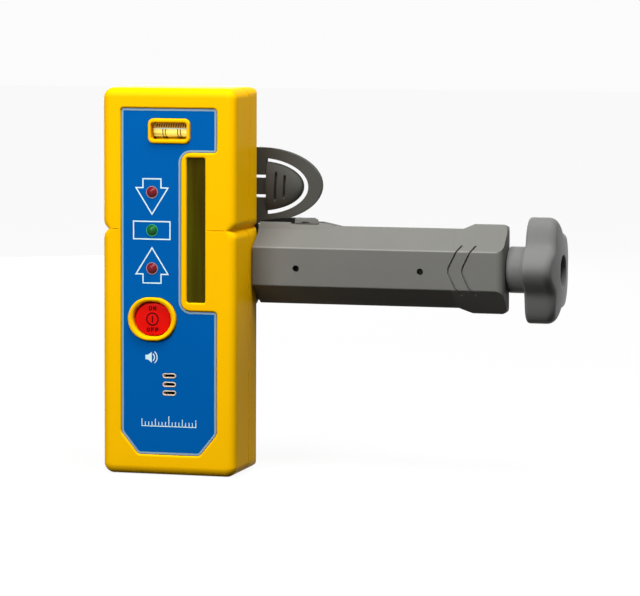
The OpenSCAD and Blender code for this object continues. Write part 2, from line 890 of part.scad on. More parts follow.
module sensor_board() color(board_green) in_part_frame() {
  y_span(sensor_front_y, sensor_back_y) translate([window_x, 0])
    square([sensor_board_w, sensor_board_h], center = true);
}

module photodiodes() color([0.15, 0.15, 0.2]) in_part_frame() {
  for (i = [0 : diode_count - 1])
    translate([window_x, 0, (i - (diode_count - 1) / 2) * diode_step])
      block(-diode_w / 2, diode_w / 2, sensor_front_y - diode_t, sensor_front_y, -diode_w / 2, diode_w / 2);
}

module board_spacers() color(steel) in_part_frame() {
  for (s = [-1, 1])
    rod_y(window_x, s * spacer_z, sensor_back_y, board_y, spacer_r);
}

module main_board() color(board_green) in_part_frame() {
  difference() {
    block(-board_w / 2, board_w / 2, board_y, board_y + board_t, -board_bottom, board_top);
    at_board_bosses() rod_y(0, 0, board_y - over, board_y + board_t + over, board_screw_r + trim_gap);
  }
}

module board_screws() color(steel) in_part_frame() {
  seat = board_y + board_t;
  at_board_bosses() {
    rod_y(0, 0, board_y - board_screw_l + free_gap, seat, board_screw_r);
    rod_y(0, 0, seat, seat + board_head_h, board_head_r);
  }
}

module led(z) {
  translate([led_x, led_back_y, z]) {
    rotate([90, 0, 0]) rotate_extrude() {
      square([led_flange_r, led_flange_t]);
      square([led_r, led_l - led_r]);
      intersection() {
        translate([0, led_l - led_r]) circle(r = led_r);
        translate([0, led_flange_t]) square([led_r, led_l]);
      }
    }
    for (s = [-1, 1])
      translate([s * led_leg_x, 0, 0])
        block(-led_leg / 2, led_leg / 2, 0, board_y - led_back_y, -led_leg / 2, led_leg / 2);
  }
}

module high_led() color([0.6, 0.05, 0.05]) in_part_frame() led(led_mid_z + led_step);

module on_grade_led() color([0.05, 0.45, 0.15]) in_part_frame() led(led_mid_z);

module low_led() color([0.6, 0.05, 0.05]) in_part_frame() led(led_mid_z - led_step);

module button_bezel() color(case_yellow) in_part_frame() {
  difference() {
    union() {
      y_span(-button_rise, trim_back_y) button_bezel_outline(0);
      y_span(wall, trim_back_y) button_bezel_outline(trim_lip);
    }
    y_span(-button_rise - over, trim_back_y + over)
      translate([button_x, button_z]) stadium(cap_w + 2 * cap_gap, cap_h + 2 * cap_gap);
  }
}

module power_button() color([0.88, 0.1, 0.08]) in_part_frame() {
  translate([button_x, 0, button_z]) {
    y_span(cap_sink, cap_back_y) stadium(cap_w, cap_h);
    y_span(cap_flange_y, cap_flange_y + cap_flange_t)
      stadium(cap_w + 2 * cap_lip, cap_h + 2 * cap_lip);
  }
}

module tact_switch() color(soft_black) in_part_frame() {
  translate([button_x, 0, button_z]) {
    block(-tact_w / 2, tact_w / 2, board_y - tact_t, board_y, -tact_w / 2, tact_w / 2);
    rod_y(0, 0, tact_top_y, board_y - tact_t, tact_plunger_r);
  }
}

module vial_bezel() color(case_yellow) in_part_frame() {
  difference() {
    union() {
      y_span(-vial_rise, trim_back_y) vial_bezel_outline(0);
      y_span(wall, trim_back_y) vial_bezel_outline(trim_lip);
      for (s = [-1, 1])
        translate([vial_x + s * (vial_ear_x - vial_ear_t / 2), 0, vial_z])
          block(-vial_ear_t / 2, vial_ear_t / 2, wall, vial_ear_y, -vial_ear_half, vial_ear_half);
    }
    y_span(-vial_rise - over, trim_back_y + over)
      translate([vial_x, vial_z]) rounded_rect(vial_open_w, vial_open_h, vial_open_r);
    rod_x(vial_y, vial_z, vial_x - vial_ear_x - over, vial_x + vial_ear_x + over, vial_r + run_gap);
  }
}

module level_vial() color([0.9, 0.95, 0.8, 0.5]) in_part_frame() {
  difference() {
    rod_x(vial_y, vial_z, vial_x - vial_l / 2, vial_x + vial_l / 2, vial_r);
    half_in = vial_l / 2 - vial_wall;
    rod_x(vial_y, vial_z, vial_x - half_in, vial_x + half_in, vial_r - vial_wall);
  }
}

module bubble(g) {
  for (s = [-1, 1])
    translate([vial_x + s * (bubble_l / 2 - bubble_r), vial_y, vial_z + bubble_up]) sphere(r = bubble_r + g);
  half_l = bubble_l / 2 - bubble_r;
  rod_x(vial_y, vial_z + bubble_up, vial_x - half_l, vial_x + half_l, bubble_r + g);
}

module vial_liquid() color([0.85, 0.85, 0.1, 0.6]) in_part_frame() {
  half_l = vial_l / 2 - vial_wall - seat_gap;
  difference() {
    rod_x(vial_y, vial_z, vial_x - half_l, vial_x + half_l, vial_r - vial_wall - seat_gap);
    bubble(seat_gap);
  }
}

module vial_bubble() color([0.95, 0.98, 0.9, 0.3]) in_part_frame() bubble(0);

module speaker_grille() color([0.9, 0.86, 0.72]) in_part_frame() {
  difference() {
    union() {
      y_span(slot_rim_y, trim_back_y) slot_outlines(0);
      y_span(wall, trim_back_y) translate([sounder_x, sounder_z])
        rounded_rect(grille_w, grille_h, grille_margin);
    }
    y_span(slot_rim_y - over, trim_back_y + over) slot_outlines(-slot_edge);
  }
}

module buzzer() color(soft_black) in_part_frame() {
  rod_y(sounder_x, sounder_z, board_y - buzzer_t, board_y, buzzer_r);
}

module battery_box() color([0.15, 0.15, 0.15]) in_part_frame() {
  half = bay_w / 2;
  difference() {
    block(-half - box_wall, half + box_wall, box_floor_y, back_in_y,
      bay_low - door_ledge, bay_top + door_ledge);
    block(-half, half, box_floor_y + box_floor_t, back_in_y + over, bay_low, bay_top);
  }
}

module at_cells() {
  translate([-cell_x, cell_y, bay_z]) children();
  translate([cell_x, cell_y, bay_z]) mirror([0, 0, 1]) children();
}

module battery_cells() color([0.75, 0.6, 0.35]) in_part_frame() {
  low = -bay_l / 2 + plate_t + spring_l;
  at_cells() {
    rod_z(0, 0, low, low + cell_l, cell_r);
    rod_z(0, 0, low + cell_l, low + cell_l + cell_nub_l, cell_nub_r);
  }
}

module contact_springs() color(steel) in_part_frame() {
  at_cells() translate([0, 0, plate_t - bay_l / 2]) difference() {
    cylinder(h = spring_l - seat_gap, r1 = spring_r, r2 = spring_tip_r);
    translate([0, 0, -over]) cylinder(h = spring_l + 2 * over, r = spring_tip_r - spring_wire);
  }
}

module contact_plates() color(steel) in_part_frame() {
  at_cells() for (z = [-bay_l / 2, bay_l / 2 - plate_t])
    translate([0, 0, z]) block(-plate_w / 2, plate_w / 2, -plate_w / 2, plate_w / 2, 0, plate_t);
}

module battery_door() color(case_yellow) in_part_frame() {
  difference() {
    union() {
      block(-door_half_w, door_half_w, body_d - door_t, body_d, hinge_z, door_top);
      rod_x(hinge_y, hinge_z, -door_half_w, door_half_w, hinge_r);
    }
    rod_x(hinge_y, hinge_z, -door_half_w - over, door_half_w + over, door_pin_r + run_gap);
    rod_y(0, door_top, body_d - thumb_depth, body_d + over, thumb_r);
  }
}

module door_seal() color(soft_black) in_part_frame() {
  w = bay_w - 2 * free_gap;
  low = hinge_z + hinge_r + door_seal_t;
  high = bay_top - free_gap;
  y_span(body_d - door_t - door_seal_t, body_d - door_t) translate([0, (low + high) / 2])
    difference() {
      square([w, high - low], center = true);
      square([w - 2 * door_seal_w, high - low - 2 * door_seal_w], center = true);
    }
}

module door_hinge_pin() color(steel) in_part_frame() {
  half_l = door_half_w + door_pin_hold - seat_gap;
  rod_x(hinge_y, hinge_z, -half_l, half_l, door_pin_r);
}

// Clamp pieces
module tongue_opening() {
  polygon(half_oval(wing_x, tongue_z, opening_a, opening_b, opening_x));
}

module neck_outline(g) {
  translate([neck_cut_x, tongue_z - neck_h / 2 - g])
    square([opening_x - neck_cut_x + over, neck_h + 2 * g]);
}

module clamp_plate() color(clamp_grey) in_part_frame() {
  pin_reach = neck_cut_h / 2 + tongue_pin_hold;
  difference() {
    union() {
      translate([(base_right - base_left) / 2, 0, (base_top - base_low) / 2])
        y_span(plate_y, plate_back_y)
          rounded_rect(base_left + base_right, base_top + base_low, base_corner_r);
      y_span(plate_y, plate_y + wing_t) {
        polygon(half_oval(wing_x, wing_z, wing_reach, wing_half_h, wing_x));
        translate([0, wing_z - wing_half_h]) square([wing_x, 2 * wing_half_h]);
        translate([0, wing_rise]) square([wing_x + wing_reach / 2, wing_z - wing_half_h]);
      }
    }
    y_span(plate_y - over, plate_back_y + over) {
      tongue_opening();
      neck_outline(neck_gap);
    }
    z_span(-base_low - over, rail_top + free_gap) rail_outline(rail_gap);
    rod_z(tongue_pin_x, tongue_pin_y, tongue_z - pin_reach, tongue_z + pin_reach, tongue_pin_r + seat_gap);
    at_plate_screws()
      rod_y(0, 0, plate_back_y - plate_screw_bite, plate_back_y + over, plate_screw_r + run_gap);
  }
}

module release_tongue() color([0.36, 0.36, 0.35]) in_part_frame() {
  neck_y = plate_y + tongue_gap;
  pad_y = plate_y - tongue_front;
  difference() {
    union() {
      y_span(pad_y, neck_y + tongue_t)
        polygon(half_oval(wing_x, tongue_z, opening_a - tongue_tip_slot, opening_b - tongue_slot,
          opening_x + tongue_gap));
      block(tongue_pin_x, opening_x + over, neck_y, neck_y + tongue_t,
        tongue_z - neck_h / 2, tongue_z + neck_h / 2);
      rod_z(tongue_pin_x, tongue_pin_y, tongue_z - neck_h / 2, tongue_z + neck_h / 2, tongue_barrel_r);
      translate([nub_x, 0, tongue_z])
        block(-nub_w / 2, nub_w / 2, plate_y - nub_rise, plate_y + 2 * tongue_gap, -nub_h / 2, nub_h / 2);
    }
    rod_z(tongue_pin_x, tongue_pin_y, tongue_z - neck_h, tongue_z + neck_h, tongue_pin_r + run_gap);
    for (i = [0 : len(groove_ins) - 1])
      translate([half_w + groove_ins[i], 0, tongue_z])
        block(-groove_w / 2, groove_w / 2, pad_y - over, pad_y + groove_depth,
          -groove_h_shares[i] * opening_b, groove_h_shares[i] * opening_b);
  }
}

module tongue_pin() color(steel) in_part_frame() {
  hold = neck_cut_h / 2 + tongue_pin_hold - free_gap;
  rod_z(tongue_pin_x, tongue_pin_y, tongue_z - hold, tongue_z + hold, tongue_pin_r);
}

module at_plate_screws() {
  for (x = plate_screw_xs, z = plate_screw_zs)
    translate([x, 0, z]) children();
}

module plate_screws() color(steel) in_part_frame() {
  seat = arm_back_y - plate_head_h - free_gap;
  at_plate_screws() {
    rod_y(0, 0, plate_back_y - plate_screw_bite + free_gap, seat, plate_screw_r);
    rod_y(0, 0, seat, seat + plate_head_h, plate_head_r);
  }
}

// Section of the arm about its axis: a flat-sided hexagon with rounded ridges
module arm_section(rise, inset) {
  half_d = arm_d / 2 - inset;
  ridge = arm_ridge_h / 2 + rise - inset / cos(facet_slope);
  face = ridge - half_d * (facet_rise + rise) / (arm_d / 2);
  r = max(arm_ridge_r - inset, arm_edge_r);
  translate([axis_y, axis_z])
    polygon(rounded_path(
      [[-half_d, face], [0, ridge], [half_d, face], [half_d, -face], [0, -ridge], [-half_d, -face]],
      [arm_edge_r, r, arm_edge_r, arm_edge_r, r, arm_edge_r]));
}

// Half height of the arm over its rounded ridges
function ridge_top(rise) =
  let (slope = atan2(facet_rise + rise, arm_d / 2))
  arm_ridge_h / 2 + rise - arm_ridge_r * (1 / cos(slope) - 1);

// Side view of the collar: a ramp up from the arm, and a rounded outer end
module collar_silhouette() {
  high = ridge_top(collar_rise);
  low = ridge_top(0) - over;
  e = collar_end_r;
  translate([0, axis_z]) {
    polygon([[collar_x - ramp_l - over, low], [collar_x, high], [arm_end_x - e, high],
      [arm_end_x - e, -high], [collar_x, -high], [collar_x - ramp_l - over, -low]]);
    translate([arm_end_x - 2 * e, e - high]) square([2 * e, 2 * high - 2 * e]);
    for (s = [-1, 1])
      translate([arm_end_x - e, s * (high - e)]) circle(r = e);
  }
}

module chevron_wedge(x, half) {
  reach = half * tan(chevron_angle);
  polygon(rounded_path([[x, 0], [x + reach, half], [x + reach, -half]], [chevron_r, small_r, small_r]));
}

// Curved groove, cut into the front flat and folded over its two edges
module chevron_groove(x) {
  for (turn = [[0, 0], [facet_slope - 90, 1], [90 - facet_slope, -1]])
    translate([x, arm_y, axis_z + turn[1] * arm_face_h / 2]) rotate([turn[0], 0, 0])
      translate([0, 0, -turn[1] * arm_face_h / 2]) y_span(-over / 2, chevron_depth)
        intersection() {
          difference() {
            chevron_wedge(0, 2 * chevron_half);
            chevron_wedge(chevron_w, 2 * chevron_half);
          }
          translate([-over, -chevron_half]) square([2 * chevron_half, 2 * chevron_half]);
        }
}

// Plan of the arm and its collar: round at the front, cut back behind the ridge
module arm_plan() {
  polygon(rounded_path(
    [[arm_x, arm_y], [arm_end_x, arm_y], [arm_end_x, axis_y],
      [arm_end_x - end_cut, arm_back_y], [arm_x, arm_back_y]],
    [small_r, collar_end_r, collar_end_r, collar_end_r, small_r]));
}

module arm_housing() color(clamp_grey) in_part_frame() {
  difference() {
    union() {
      x_span(arm_x, collar_x) arm_section(0, 0);
      intersection() {
        x_span(collar_x - ramp_l - over, arm_end_x) arm_section(collar_rise, 0);
        y_span(arm_y - over, arm_back_y + over) collar_silhouette();
        z_span(axis_z - arm_ridge_h, axis_z + arm_ridge_h) arm_plan();
      }
      block(-root_left, arm_x + over, plate_back_y, arm_back_y,
        axis_z - root_half_h, axis_z + root_half_h);
    }
    x_span(cavity_x, cavity_end_x) arm_section(0, arm_wall);
    block(cavity_x, jaw_slot_end, arm_back_y - 2 * arm_wall, arm_back_y + over,
      axis_z - jaw_slot_h / 2, axis_z + jaw_slot_h / 2);
    rod_x(axis_y, axis_z, cavity_x - tail_l - free_gap, cavity_x + over, tail_r + tail_bush_t + seat_gap);
    rod_x(axis_y, axis_z, cavity_end_x - over, arm_end_x + over, shank_r + bush_t + seat_gap);
    rod_y(near_pin_x, arm_pin_z, arm_y - over, arm_back_y + over, arm_pin_r + seat_gap);
    rod_y(far_pin_x, arm_pin_z, arm_y - over, arm_y + 2 * arm_wall, arm_pin_r + seat_gap);
    chevron_groove(arm_end_x - chevron_in);
    chevron_groove(arm_end_x - chevron_in + chevron_step);
    at_plate_screws() {
      rod_y(0, 0, plate_back_y - over, arm_back_y, plate_screw_r + trim_gap);
      rod_y(0, 0, arm_back_y - plate_head_h - free_gap, arm_back_y + over, plate_head_r + trim_gap);
    }
  }
}

module arm_pins() color(soft_black) in_part_frame() {
  rod_y(near_pin_x, arm_pin_z, arm_y + arm_pin_sink, arm_back_y + flange_t + pad_t, arm_pin_r);
  rod_y(far_pin_x, arm_pin_z, arm_y + arm_pin_sink - arm_wall / 2, arm_y + arm_wall + guide_t / 2,
    arm_pin_r);
}

module guide_strip() color([0.85, 0.85, 0.8]) in_part_frame() {
  half = arm_face_h / 2 - arm_wall;
  difference() {
    block(cavity_x + free_gap, shank_x - free_gap, arm_y + arm_wall, arm_y + arm_wall + guide_t,
      axis_z - half, axis_z + half);
    rod_y(far_pin_x, arm_pin_z, arm_y, arm_y + arm_d / 2, arm_pin_r + seat_gap);
  }
}

module tail_bush() color(bronze) in_part_frame() {
  difference() {
    rod_x(axis_y, axis_z, cavity_x - tail_l, cavity_x, tail_r + tail_bush_t);
    rod_x(axis_y, axis_z, cavity_x - tail_l - over, cavity_x + over, tail_r + run_gap);
  }
}

module collar_bush() color(bronze) in_part_frame() {
  difference() {
    union() {
      rod_x(axis_y, axis_z, cavity_end_x - bush_flange_t, arm_end_x, shank_r + bush_t);
      rod_x(axis_y, axis_z, cavity_end_x - bush_flange_t, cavity_end_x, shank_r + 2 * bush_t);
    }
    rod_x(axis_y, axis_z, cavity_end_x - bush_flange_t - over, arm_end_x + over, shank_r + run_gap);
  }
}

module thrust_ring() color(steel) in_part_frame() {
  end = cavity_end_x - bush_flange_t - run_gap;
  difference() {
    rod_x(axis_y, axis_z, end - thrust_t, end, thrust_r);
    rod_x(axis_y, axis_z, end - thrust_t - over, end + over, shank_r + seat_gap);
  }
}

module lead_screw() color(steel) in_part_frame() {
  difference() {
    union() {
      rod_x(axis_y, axis_z, cavity_x - tail_l + free_gap, cavity_x + free_gap + over, tail_r);
      rod_x(axis_y, axis_z, cavity_x + free_gap, shank_x + over, screw_r);
      rod_x(axis_y, axis_z, shank_x, shank_end_x, shank_r);
    }
    rod_x(axis_y, axis_z, shank_end_x - knob_screw_l, shank_end_x + over, knob_screw_r + run_gap);
  }
}

function knob_outline() =
  [for (i = [0 : knob_steps - 1])
    let (w = 360 * i / knob_steps, r = knob_mid_r + knob_swing * cos(knob_lobes * (w - knob_turn)))
    r * [-cos(w), sin(w)]];

// Half section of the knob's end about its axis: crowned, with a round edge
module knob_crown_profile() {
  e = knob_edge_r;
  crown_r = (pow(knob_lobe_r - e, 2) + pow(knob_crown, 2)) / (2 * knob_crown);
  union() {
    translate([0, knob_back_r]) square([knob_lobe_r, knob_t - knob_crown - e - knob_back_r]);
    square([knob_lobe_r - knob_back_r, knob_t - knob_crown - e]);
    square([knob_lobe_r - e, knob_t - knob_crown]);
    translate([knob_lobe_r - e, knob_t - knob_crown - e]) circle(r = e);
    translate([knob_lobe_r - knob_back_r, knob_back_r]) circle(r = knob_back_r);
    intersection() {
      translate([0, knob_t - crown_r]) circle(r = crown_r);
      translate([0, knob_t - knob_crown - e]) square([knob_lobe_r - e, e + knob_crown]);
    }
  }
}

module knob() color([0.52, 0.53, 0.52]) in_part_frame() {
  difference() {
    union() {
      rod_x(axis_y, axis_z, knob_x, lobe_x + over, neck_r);
      intersection() {
        translate([0, axis_y, axis_z]) x_span(lobe_x, knob_end_x) polygon(knob_outline());
        translate([lobe_x, axis_y, axis_z]) rotate([0, 90, 0]) rotate_extrude() knob_crown_profile();
      }
    }
    rod_x(axis_y, axis_z, knob_x - over, shank_end_x, shank_r + seat_gap);
    rod_x(axis_y, axis_z, shank_end_x - over, knob_end_x, knob_screw_r + trim_gap);
    rod_x(axis_y, axis_z, knob_end_x - knob_crown - knob_recess_d, knob_end_x + over, knob_recess_r);
  }
}

module knob_screw() color(steel) in_part_frame() {
  seat = knob_end_x - knob_crown - knob_recess_d;
  rod_x(axis_y, axis_z, shank_end_x - knob_screw_l + free_gap, seat, knob_screw_r);
  difference() {
    rod_x(axis_y, axis_z, seat, seat + knob_head_h, knob_head_r);
    translate([seat + knob_head_h / 2, axis_y, axis_z]) rotate([0, 90, 0])
      cylinder(h = knob_head_h, r = knob_screw_r, $fn = 6);
  }
}

module jaw_outline(y0, y1) {
  translate([(y0 + y1) / 2, axis_z]) rounded_rect(y1 - y0, 2 * jaw_half_h, jaw_corner_r);
}

module pad_outline() {
  jaw_outline(arm_back_y + flange_t + pad_margin, jaw_back_y - pad_margin);
}

module moving_jaw() color(clamp_grey) in_part_frame() {
  slide_front = arm_y + arm_wall + guide_t + slide_gap;
  neck_half = jaw_slot_h / 2 - free_gap;
  jaw_y = arm_back_y + 2 * free_gap;
  difference() {
    union() {
      intersection() {
        x_span(carriage_x, carriage_x + carriage_l) arm_section(0, arm_wall + slide_gap);
        block(carriage_x, carriage_x + carriage_l, slide_front, arm_back_y,
          axis_z - arm_ridge_h, axis_z + arm_ridge_h);
      }
      block(carriage_neck_x, carriage_neck_x + jaw_t, axis_y, jaw_y + jaw_corner_r,
        axis_z - neck_half, axis_z + neck_half);
      x_span(carriage_neck_x, carriage_neck_x + jaw_t) jaw_outline(jaw_y, jaw_back_y);
    }
    rod_x(axis_y, axis_z, carriage_x - over, carriage_x + carriage_l + over, screw_r + 2 * trim_gap);
    rod_x(axis_y, axis_z, carriage_x + nut_inset, carriage_x + carriage_l + over, nut_r + seat_gap);
  }
}

module jaw_nut() color([0.8, 0.65, 0.3]) in_part_frame() {
  difference() {
    rod_x(axis_y, axis_z, carriage_x + nut_inset, carriage_x + carriage_l, nut_r);
    rod_x(axis_y, axis_z, carriage_x, carriage_x + carriage_l + over, screw_r + run_gap);
  }
}

module moving_jaw_pad() color(soft_black) in_part_frame() {
  x_span(moving_face_x, carriage_neck_x) pad_outline();
}

module fixed_jaw() color(clamp_grey) in_part_frame() {
  x1 = jaw_face_x - pad_t;
  x0 = x1 - hump_l;
  high = arm_ridge_h / 2 - small_r;
  jaw_y = arm_back_y + flange_t;
  difference() {
    union() {
      y_span(arm_back_y, jaw_y) translate([0, axis_z])
        polygon([[x0, high], [x1 - hump_slope, high], [x1, high - hump_drop],
          [x1, hump_drop - high], [x1 - hump_slope, -high], [x0, -high]]);
      x_span(x1 - jaw_t, x1) jaw_outline(jaw_y - jaw_corner_r, jaw_back_y);
      for (s = [-1, 1])
        translate([0, 0, axis_z + s * jaw_half_h / 2]) z_span(-rib_t / 2, rib_t / 2)
          polygon([[x0, jaw_y - over], [x1 - jaw_t / 2, jaw_back_y - jaw_t], [x1 - jaw_t / 2, jaw_y - over]]);
      translate([tab_x, arm_back_y, axis_z + high]) difference() {
        block(0, tab_w, 0, flange_t - over, -over, tab_rise);
        block(tab_leg, tab_w - tab_leg, -over, tab_slot, 0, tab_rise - tab_t);
      }
    }
    rod_y(near_pin_x, arm_pin_z, arm_back_y - over, arm_back_y + flange_t + pad_t + over,
      arm_pin_r + seat_gap);
  }
}

module fixed_jaw_pad() color(soft_black) in_part_frame() {
  x_span(jaw_face_x - pad_t, jaw_face_x) pad_outline();
}

front_case();
rear_case();
case_seal();
case_screws();
face_label();
sensor_window();
sensor_board();
photodiodes();
board_spacers();
main_board();
board_screws();
high_led();
on_grade_led();
low_led();
button_bezel();
power_button();
tact_switch();
vial_bezel();
level_vial();
vial_liquid();
vial_bubble();
speaker_grille();
buzzer();
battery_box();
battery_cells();
contact_springs();
contact_plates();
battery_door();
door_seal();
door_hinge_pin();
clamp_plate();
release_tongue();
tongue_pin();
plate_screws();
arm_housing();
arm_pins();
guide_strip();
tail_bush();
collar_bush();
thrust_ring();
lead_screw();
knob();
knob_screw();
moving_jaw();
jaw_nut();
moving_jaw_pad();
fixed_jaw();
fixed_jaw_pad();
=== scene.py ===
"""Laser receiver on a rod clamp: the looks of its shells, label, controls and clamp.

Shapes are worked out in millimetres in the receiver's own frame: x from the middle of the
body, y back from its front face, z up from the on-grade line. Meshes are in metres, in the
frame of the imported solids.
"""

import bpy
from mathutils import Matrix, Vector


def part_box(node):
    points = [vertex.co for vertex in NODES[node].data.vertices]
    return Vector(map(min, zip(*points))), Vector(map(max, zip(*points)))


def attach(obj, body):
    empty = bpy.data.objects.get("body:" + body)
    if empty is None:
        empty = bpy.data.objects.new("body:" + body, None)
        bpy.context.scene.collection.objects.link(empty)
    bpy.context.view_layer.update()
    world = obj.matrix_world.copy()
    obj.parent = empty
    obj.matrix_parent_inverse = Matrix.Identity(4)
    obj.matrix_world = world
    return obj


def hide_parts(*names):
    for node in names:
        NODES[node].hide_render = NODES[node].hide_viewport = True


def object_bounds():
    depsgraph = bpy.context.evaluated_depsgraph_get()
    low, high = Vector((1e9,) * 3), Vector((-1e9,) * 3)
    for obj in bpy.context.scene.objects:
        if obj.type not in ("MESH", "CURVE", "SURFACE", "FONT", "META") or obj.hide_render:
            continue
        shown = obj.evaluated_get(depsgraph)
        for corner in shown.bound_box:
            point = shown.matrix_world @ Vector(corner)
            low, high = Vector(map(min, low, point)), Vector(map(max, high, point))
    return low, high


bl_info = {
    "name": "Laser receiver on a rod clamp",
    "version": (1, 0, 0),
    "blender": (4, 5, 0),
    "location": "View3D > Sidebar > Receiver",
    "description": "Builds the shells, label, controls and clamp of a laser receiver around its solids",
    "category": "Object",
}

import math

import bmesh
import bpy
import numpy as np
from bpy.props import FloatProperty, FloatVectorProperty, PointerProperty
from mathutils import Matrix, Vector
from mathutils.geometry import delaunay_2d_cdt

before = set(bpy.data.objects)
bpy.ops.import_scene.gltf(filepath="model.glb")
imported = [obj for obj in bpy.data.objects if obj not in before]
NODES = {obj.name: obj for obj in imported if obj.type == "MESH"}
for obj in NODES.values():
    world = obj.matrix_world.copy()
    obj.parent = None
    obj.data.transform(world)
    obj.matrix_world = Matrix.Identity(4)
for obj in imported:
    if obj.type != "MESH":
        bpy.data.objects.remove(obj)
CAD_BOX = [list(corner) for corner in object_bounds()]

# A millimetre in metres, the grid in millimetres on which equal points merge, the steps in a
# corner's arc, and the depth in metres of a full-strength bump
MM = 0.001
WELD = 0.0005
ARC_STEPS = 8
BUMP_DEPTH = 0.0001


def frame_origin():
    """The receiver frame's origin: middle of the body, its front face, the window's middle."""
    case_low, case_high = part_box("front_case")
    pane_low, pane_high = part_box("sensor_window")
    return np.array([(case_low.x + case_high.x) / 2, case_low.y, (pane_low.z + pane_high.z) / 2])


ORIGIN = frame_origin()


def span(node):
    """Lowest and highest corner of a solid, in receiver millimetres."""
    low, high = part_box(node)
    return (np.array(low) - ORIGIN) / MM, (np.array(high) - ORIGIN) / MM


# Sizes and colours that a user may change
def length(name, text, millimetres):
    """A length property with its default given in millimetres."""
    return FloatProperty(
        name=name, description=text, default=millimetres * MM, min=0.0, precision=5, unit="LENGTH"
    )


def colour(name, text, red, green, blue):
    """A colour property with its default given as 8-bit display values."""
    display = np.array([red, green, blue]) / 255
    linear = np.where(display > 0.04045, ((display + 0.055) / 1.055) ** 2.4, display / 12.92)
    return FloatVectorProperty(
        name=name, description=text, default=tuple(linear), size=3, min=0.0, max=1.0, subtype="COLOR"
    )


class ReceiverSizes(bpy.types.PropertyGroup):
    """Sizes of the front shell, label and controls that the solids' boxes don't give."""

    wall: length("Wall", "Wall of the front shell", 2.4)
    corner_r: length("Corner radius", "Corner radius seen from the front", 4.5)
    front_edge_r: length("Front edge radius", "Radius of the front edges", 4.0)
    seam_r: length("Seam radius", "Radius of the front shell's edge at the seam", 0.35)
    notch_depth: length("Notch depth", "Depth of the side notches at the on-grade line", 2.3)
    notch_h: length("Notch height", "Height of the side notches", 8.0)
    score_w: length("Score width", "Width of the line scored across the front", 0.6)
    score_depth: length("Score depth", "Depth of the scored line", 0.4)
    recess: length("Recess depth", "Depth of the recess that holds the label", 0.9)
    lip_r: length("Lip radius", "Radius of the case's edge round the label and the window", 0.8)
    window_ledge: length("Window ledge", "Width of the ledge that the pane sits on", 1.0)
    window_rim: length("Window rim", "Width of the case between the label and the window", 2.6)
    cut_rim_top: length("Upper rim", "Height of the case between the label and the window's top", 2.3)
    cut_rim_low: length("Lower rim", "Height of the case between the label and the window's end", 3.8)
    label_r: length("Label corner", "Radius of the label's corners", 1.3)
    label_cut_r: length("Label cut-out corner", "Radius of the label's corners beside the window", 4.4)
    label_chamfer_r: length("Label chamfer corner", "Radius of the corners of the lower chamfers", 2.6)
    chamfer_w: length("Chamfer width", "Width of the label's lower chamfers", 7.5)
    chamfer_h: length("Chamfer height", "Height of the label's lower chamfers", 9.3)
    fit_gap: length("Fit gap", "Gap between the case and the trim set in it", 0.15)
    trim_lip: length("Trim lip", "Width of the hidden flange behind the trim", 1.0)
    led_r: length("Lamp radius", "Radius of a lamp", 2.5)
    print_t: length("Print thickness", "Thickness of the printed ink", 0.03)
    line_w: length("Line width", "Width of the printed lines", 0.52)


class ReceiverColours(bpy.types.PropertyGroup):
    """Colours of the receiver and its clamp."""

    yellow: colour("Case yellow", "Colour of the shells and the trim", 252, 190, 3)
    blue: colour("Label blue", "Colour of the face label", 0, 91, 167)
    border: colour("Label border", "Colour of the label's edge line", 140, 164, 178)
    ink: colour("Print white", "Colour of the printed arrows and signs", 214, 240, 240)
    pane: colour("Filter pane", "Colour of the detector's window", 66, 60, 2)
    red: colour("Button red", "Colour of the power button", 226, 20, 14)
    maroon: colour("Button print", "Colour of the words and the sign on the button", 74, 4, 12)
    lamp_red: colour("Red lamp", "Colour of the high and low lamps", 116, 6, 20)
    lamp_green: colour("Green lamp", "Colour of the on-grade lamp", 4, 96, 36)
    cream: colour("Sounder rim", "Colour of the sounder's rims", 226, 208, 190)
    grey: colour("Clamp grey", "Colour of the arm and the jaws", 113, 113, 109)
    dark_grey: colour("Latch grey", "Colour of the clamp plate and its tongue", 78, 78, 75)
    knob_grey: colour("Knob grey", "Colour of the knob", 112, 113, 111)


def mm(value):
    """A property's length in millimetres."""
    return value / MM


# Outlines in the plane of the front face
def rounded_outline(corners, radii, grow=0.0, steps=ARC_STEPS):
    """Outline whose corners are arcs, moved outwards by grow. Each arc keeps its centre, so a
    corner that turns left gets a radius larger by grow, and one that turns right a smaller one."""
    corners = np.asarray(corners, float)
    radii = np.broadcast_to(np.asarray(radii, float), len(corners))
    ahead = np.roll(corners, -1, 0) - corners
    ahead = ahead / np.linalg.norm(ahead, axis=1, keepdims=True)
    behind = np.roll(ahead, 1, 0)
    cross = behind[:, 0] * ahead[:, 1] - behind[:, 1] * ahead[:, 0]
    turn = np.arctan2(cross, (behind * ahead).sum(1))
    side = np.sign(turn)
    left = np.stack([-behind[:, 1], behind[:, 0]], 1)
    cut = radii * np.tan(np.abs(turn) / 2)
    centre = corners - behind * cut[:, None] + left * (side * radii)[:, None]
    start = np.arctan2(-left[:, 1] * side, -left[:, 0] * side)
    angle = start[:, None] + turn[:, None] * np.linspace(0, 1, steps + 1)
    reach = (radii + side * grow)[:, None, None]
    return (centre[:, None] + reach * np.stack([np.cos(angle), np.sin(angle)], -1)).reshape(-1, 2)


def mitred_outline(corners, grow):
    """Outline with sharp corners, each moved along its mitre so that the sides move out by grow."""
    corners = np.asarray(corners, float)
    ahead = np.roll(corners, -1, 0) - corners
    ahead = ahead / np.linalg.norm(ahead, axis=1, keepdims=True)
    out = np.stack([ahead[:, 1], -ahead[:, 0]], 1)
    back = np.roll(out, 1, 0)
    return corners + grow * (out + back) / (1 + (out * back).sum(1, keepdims=True))


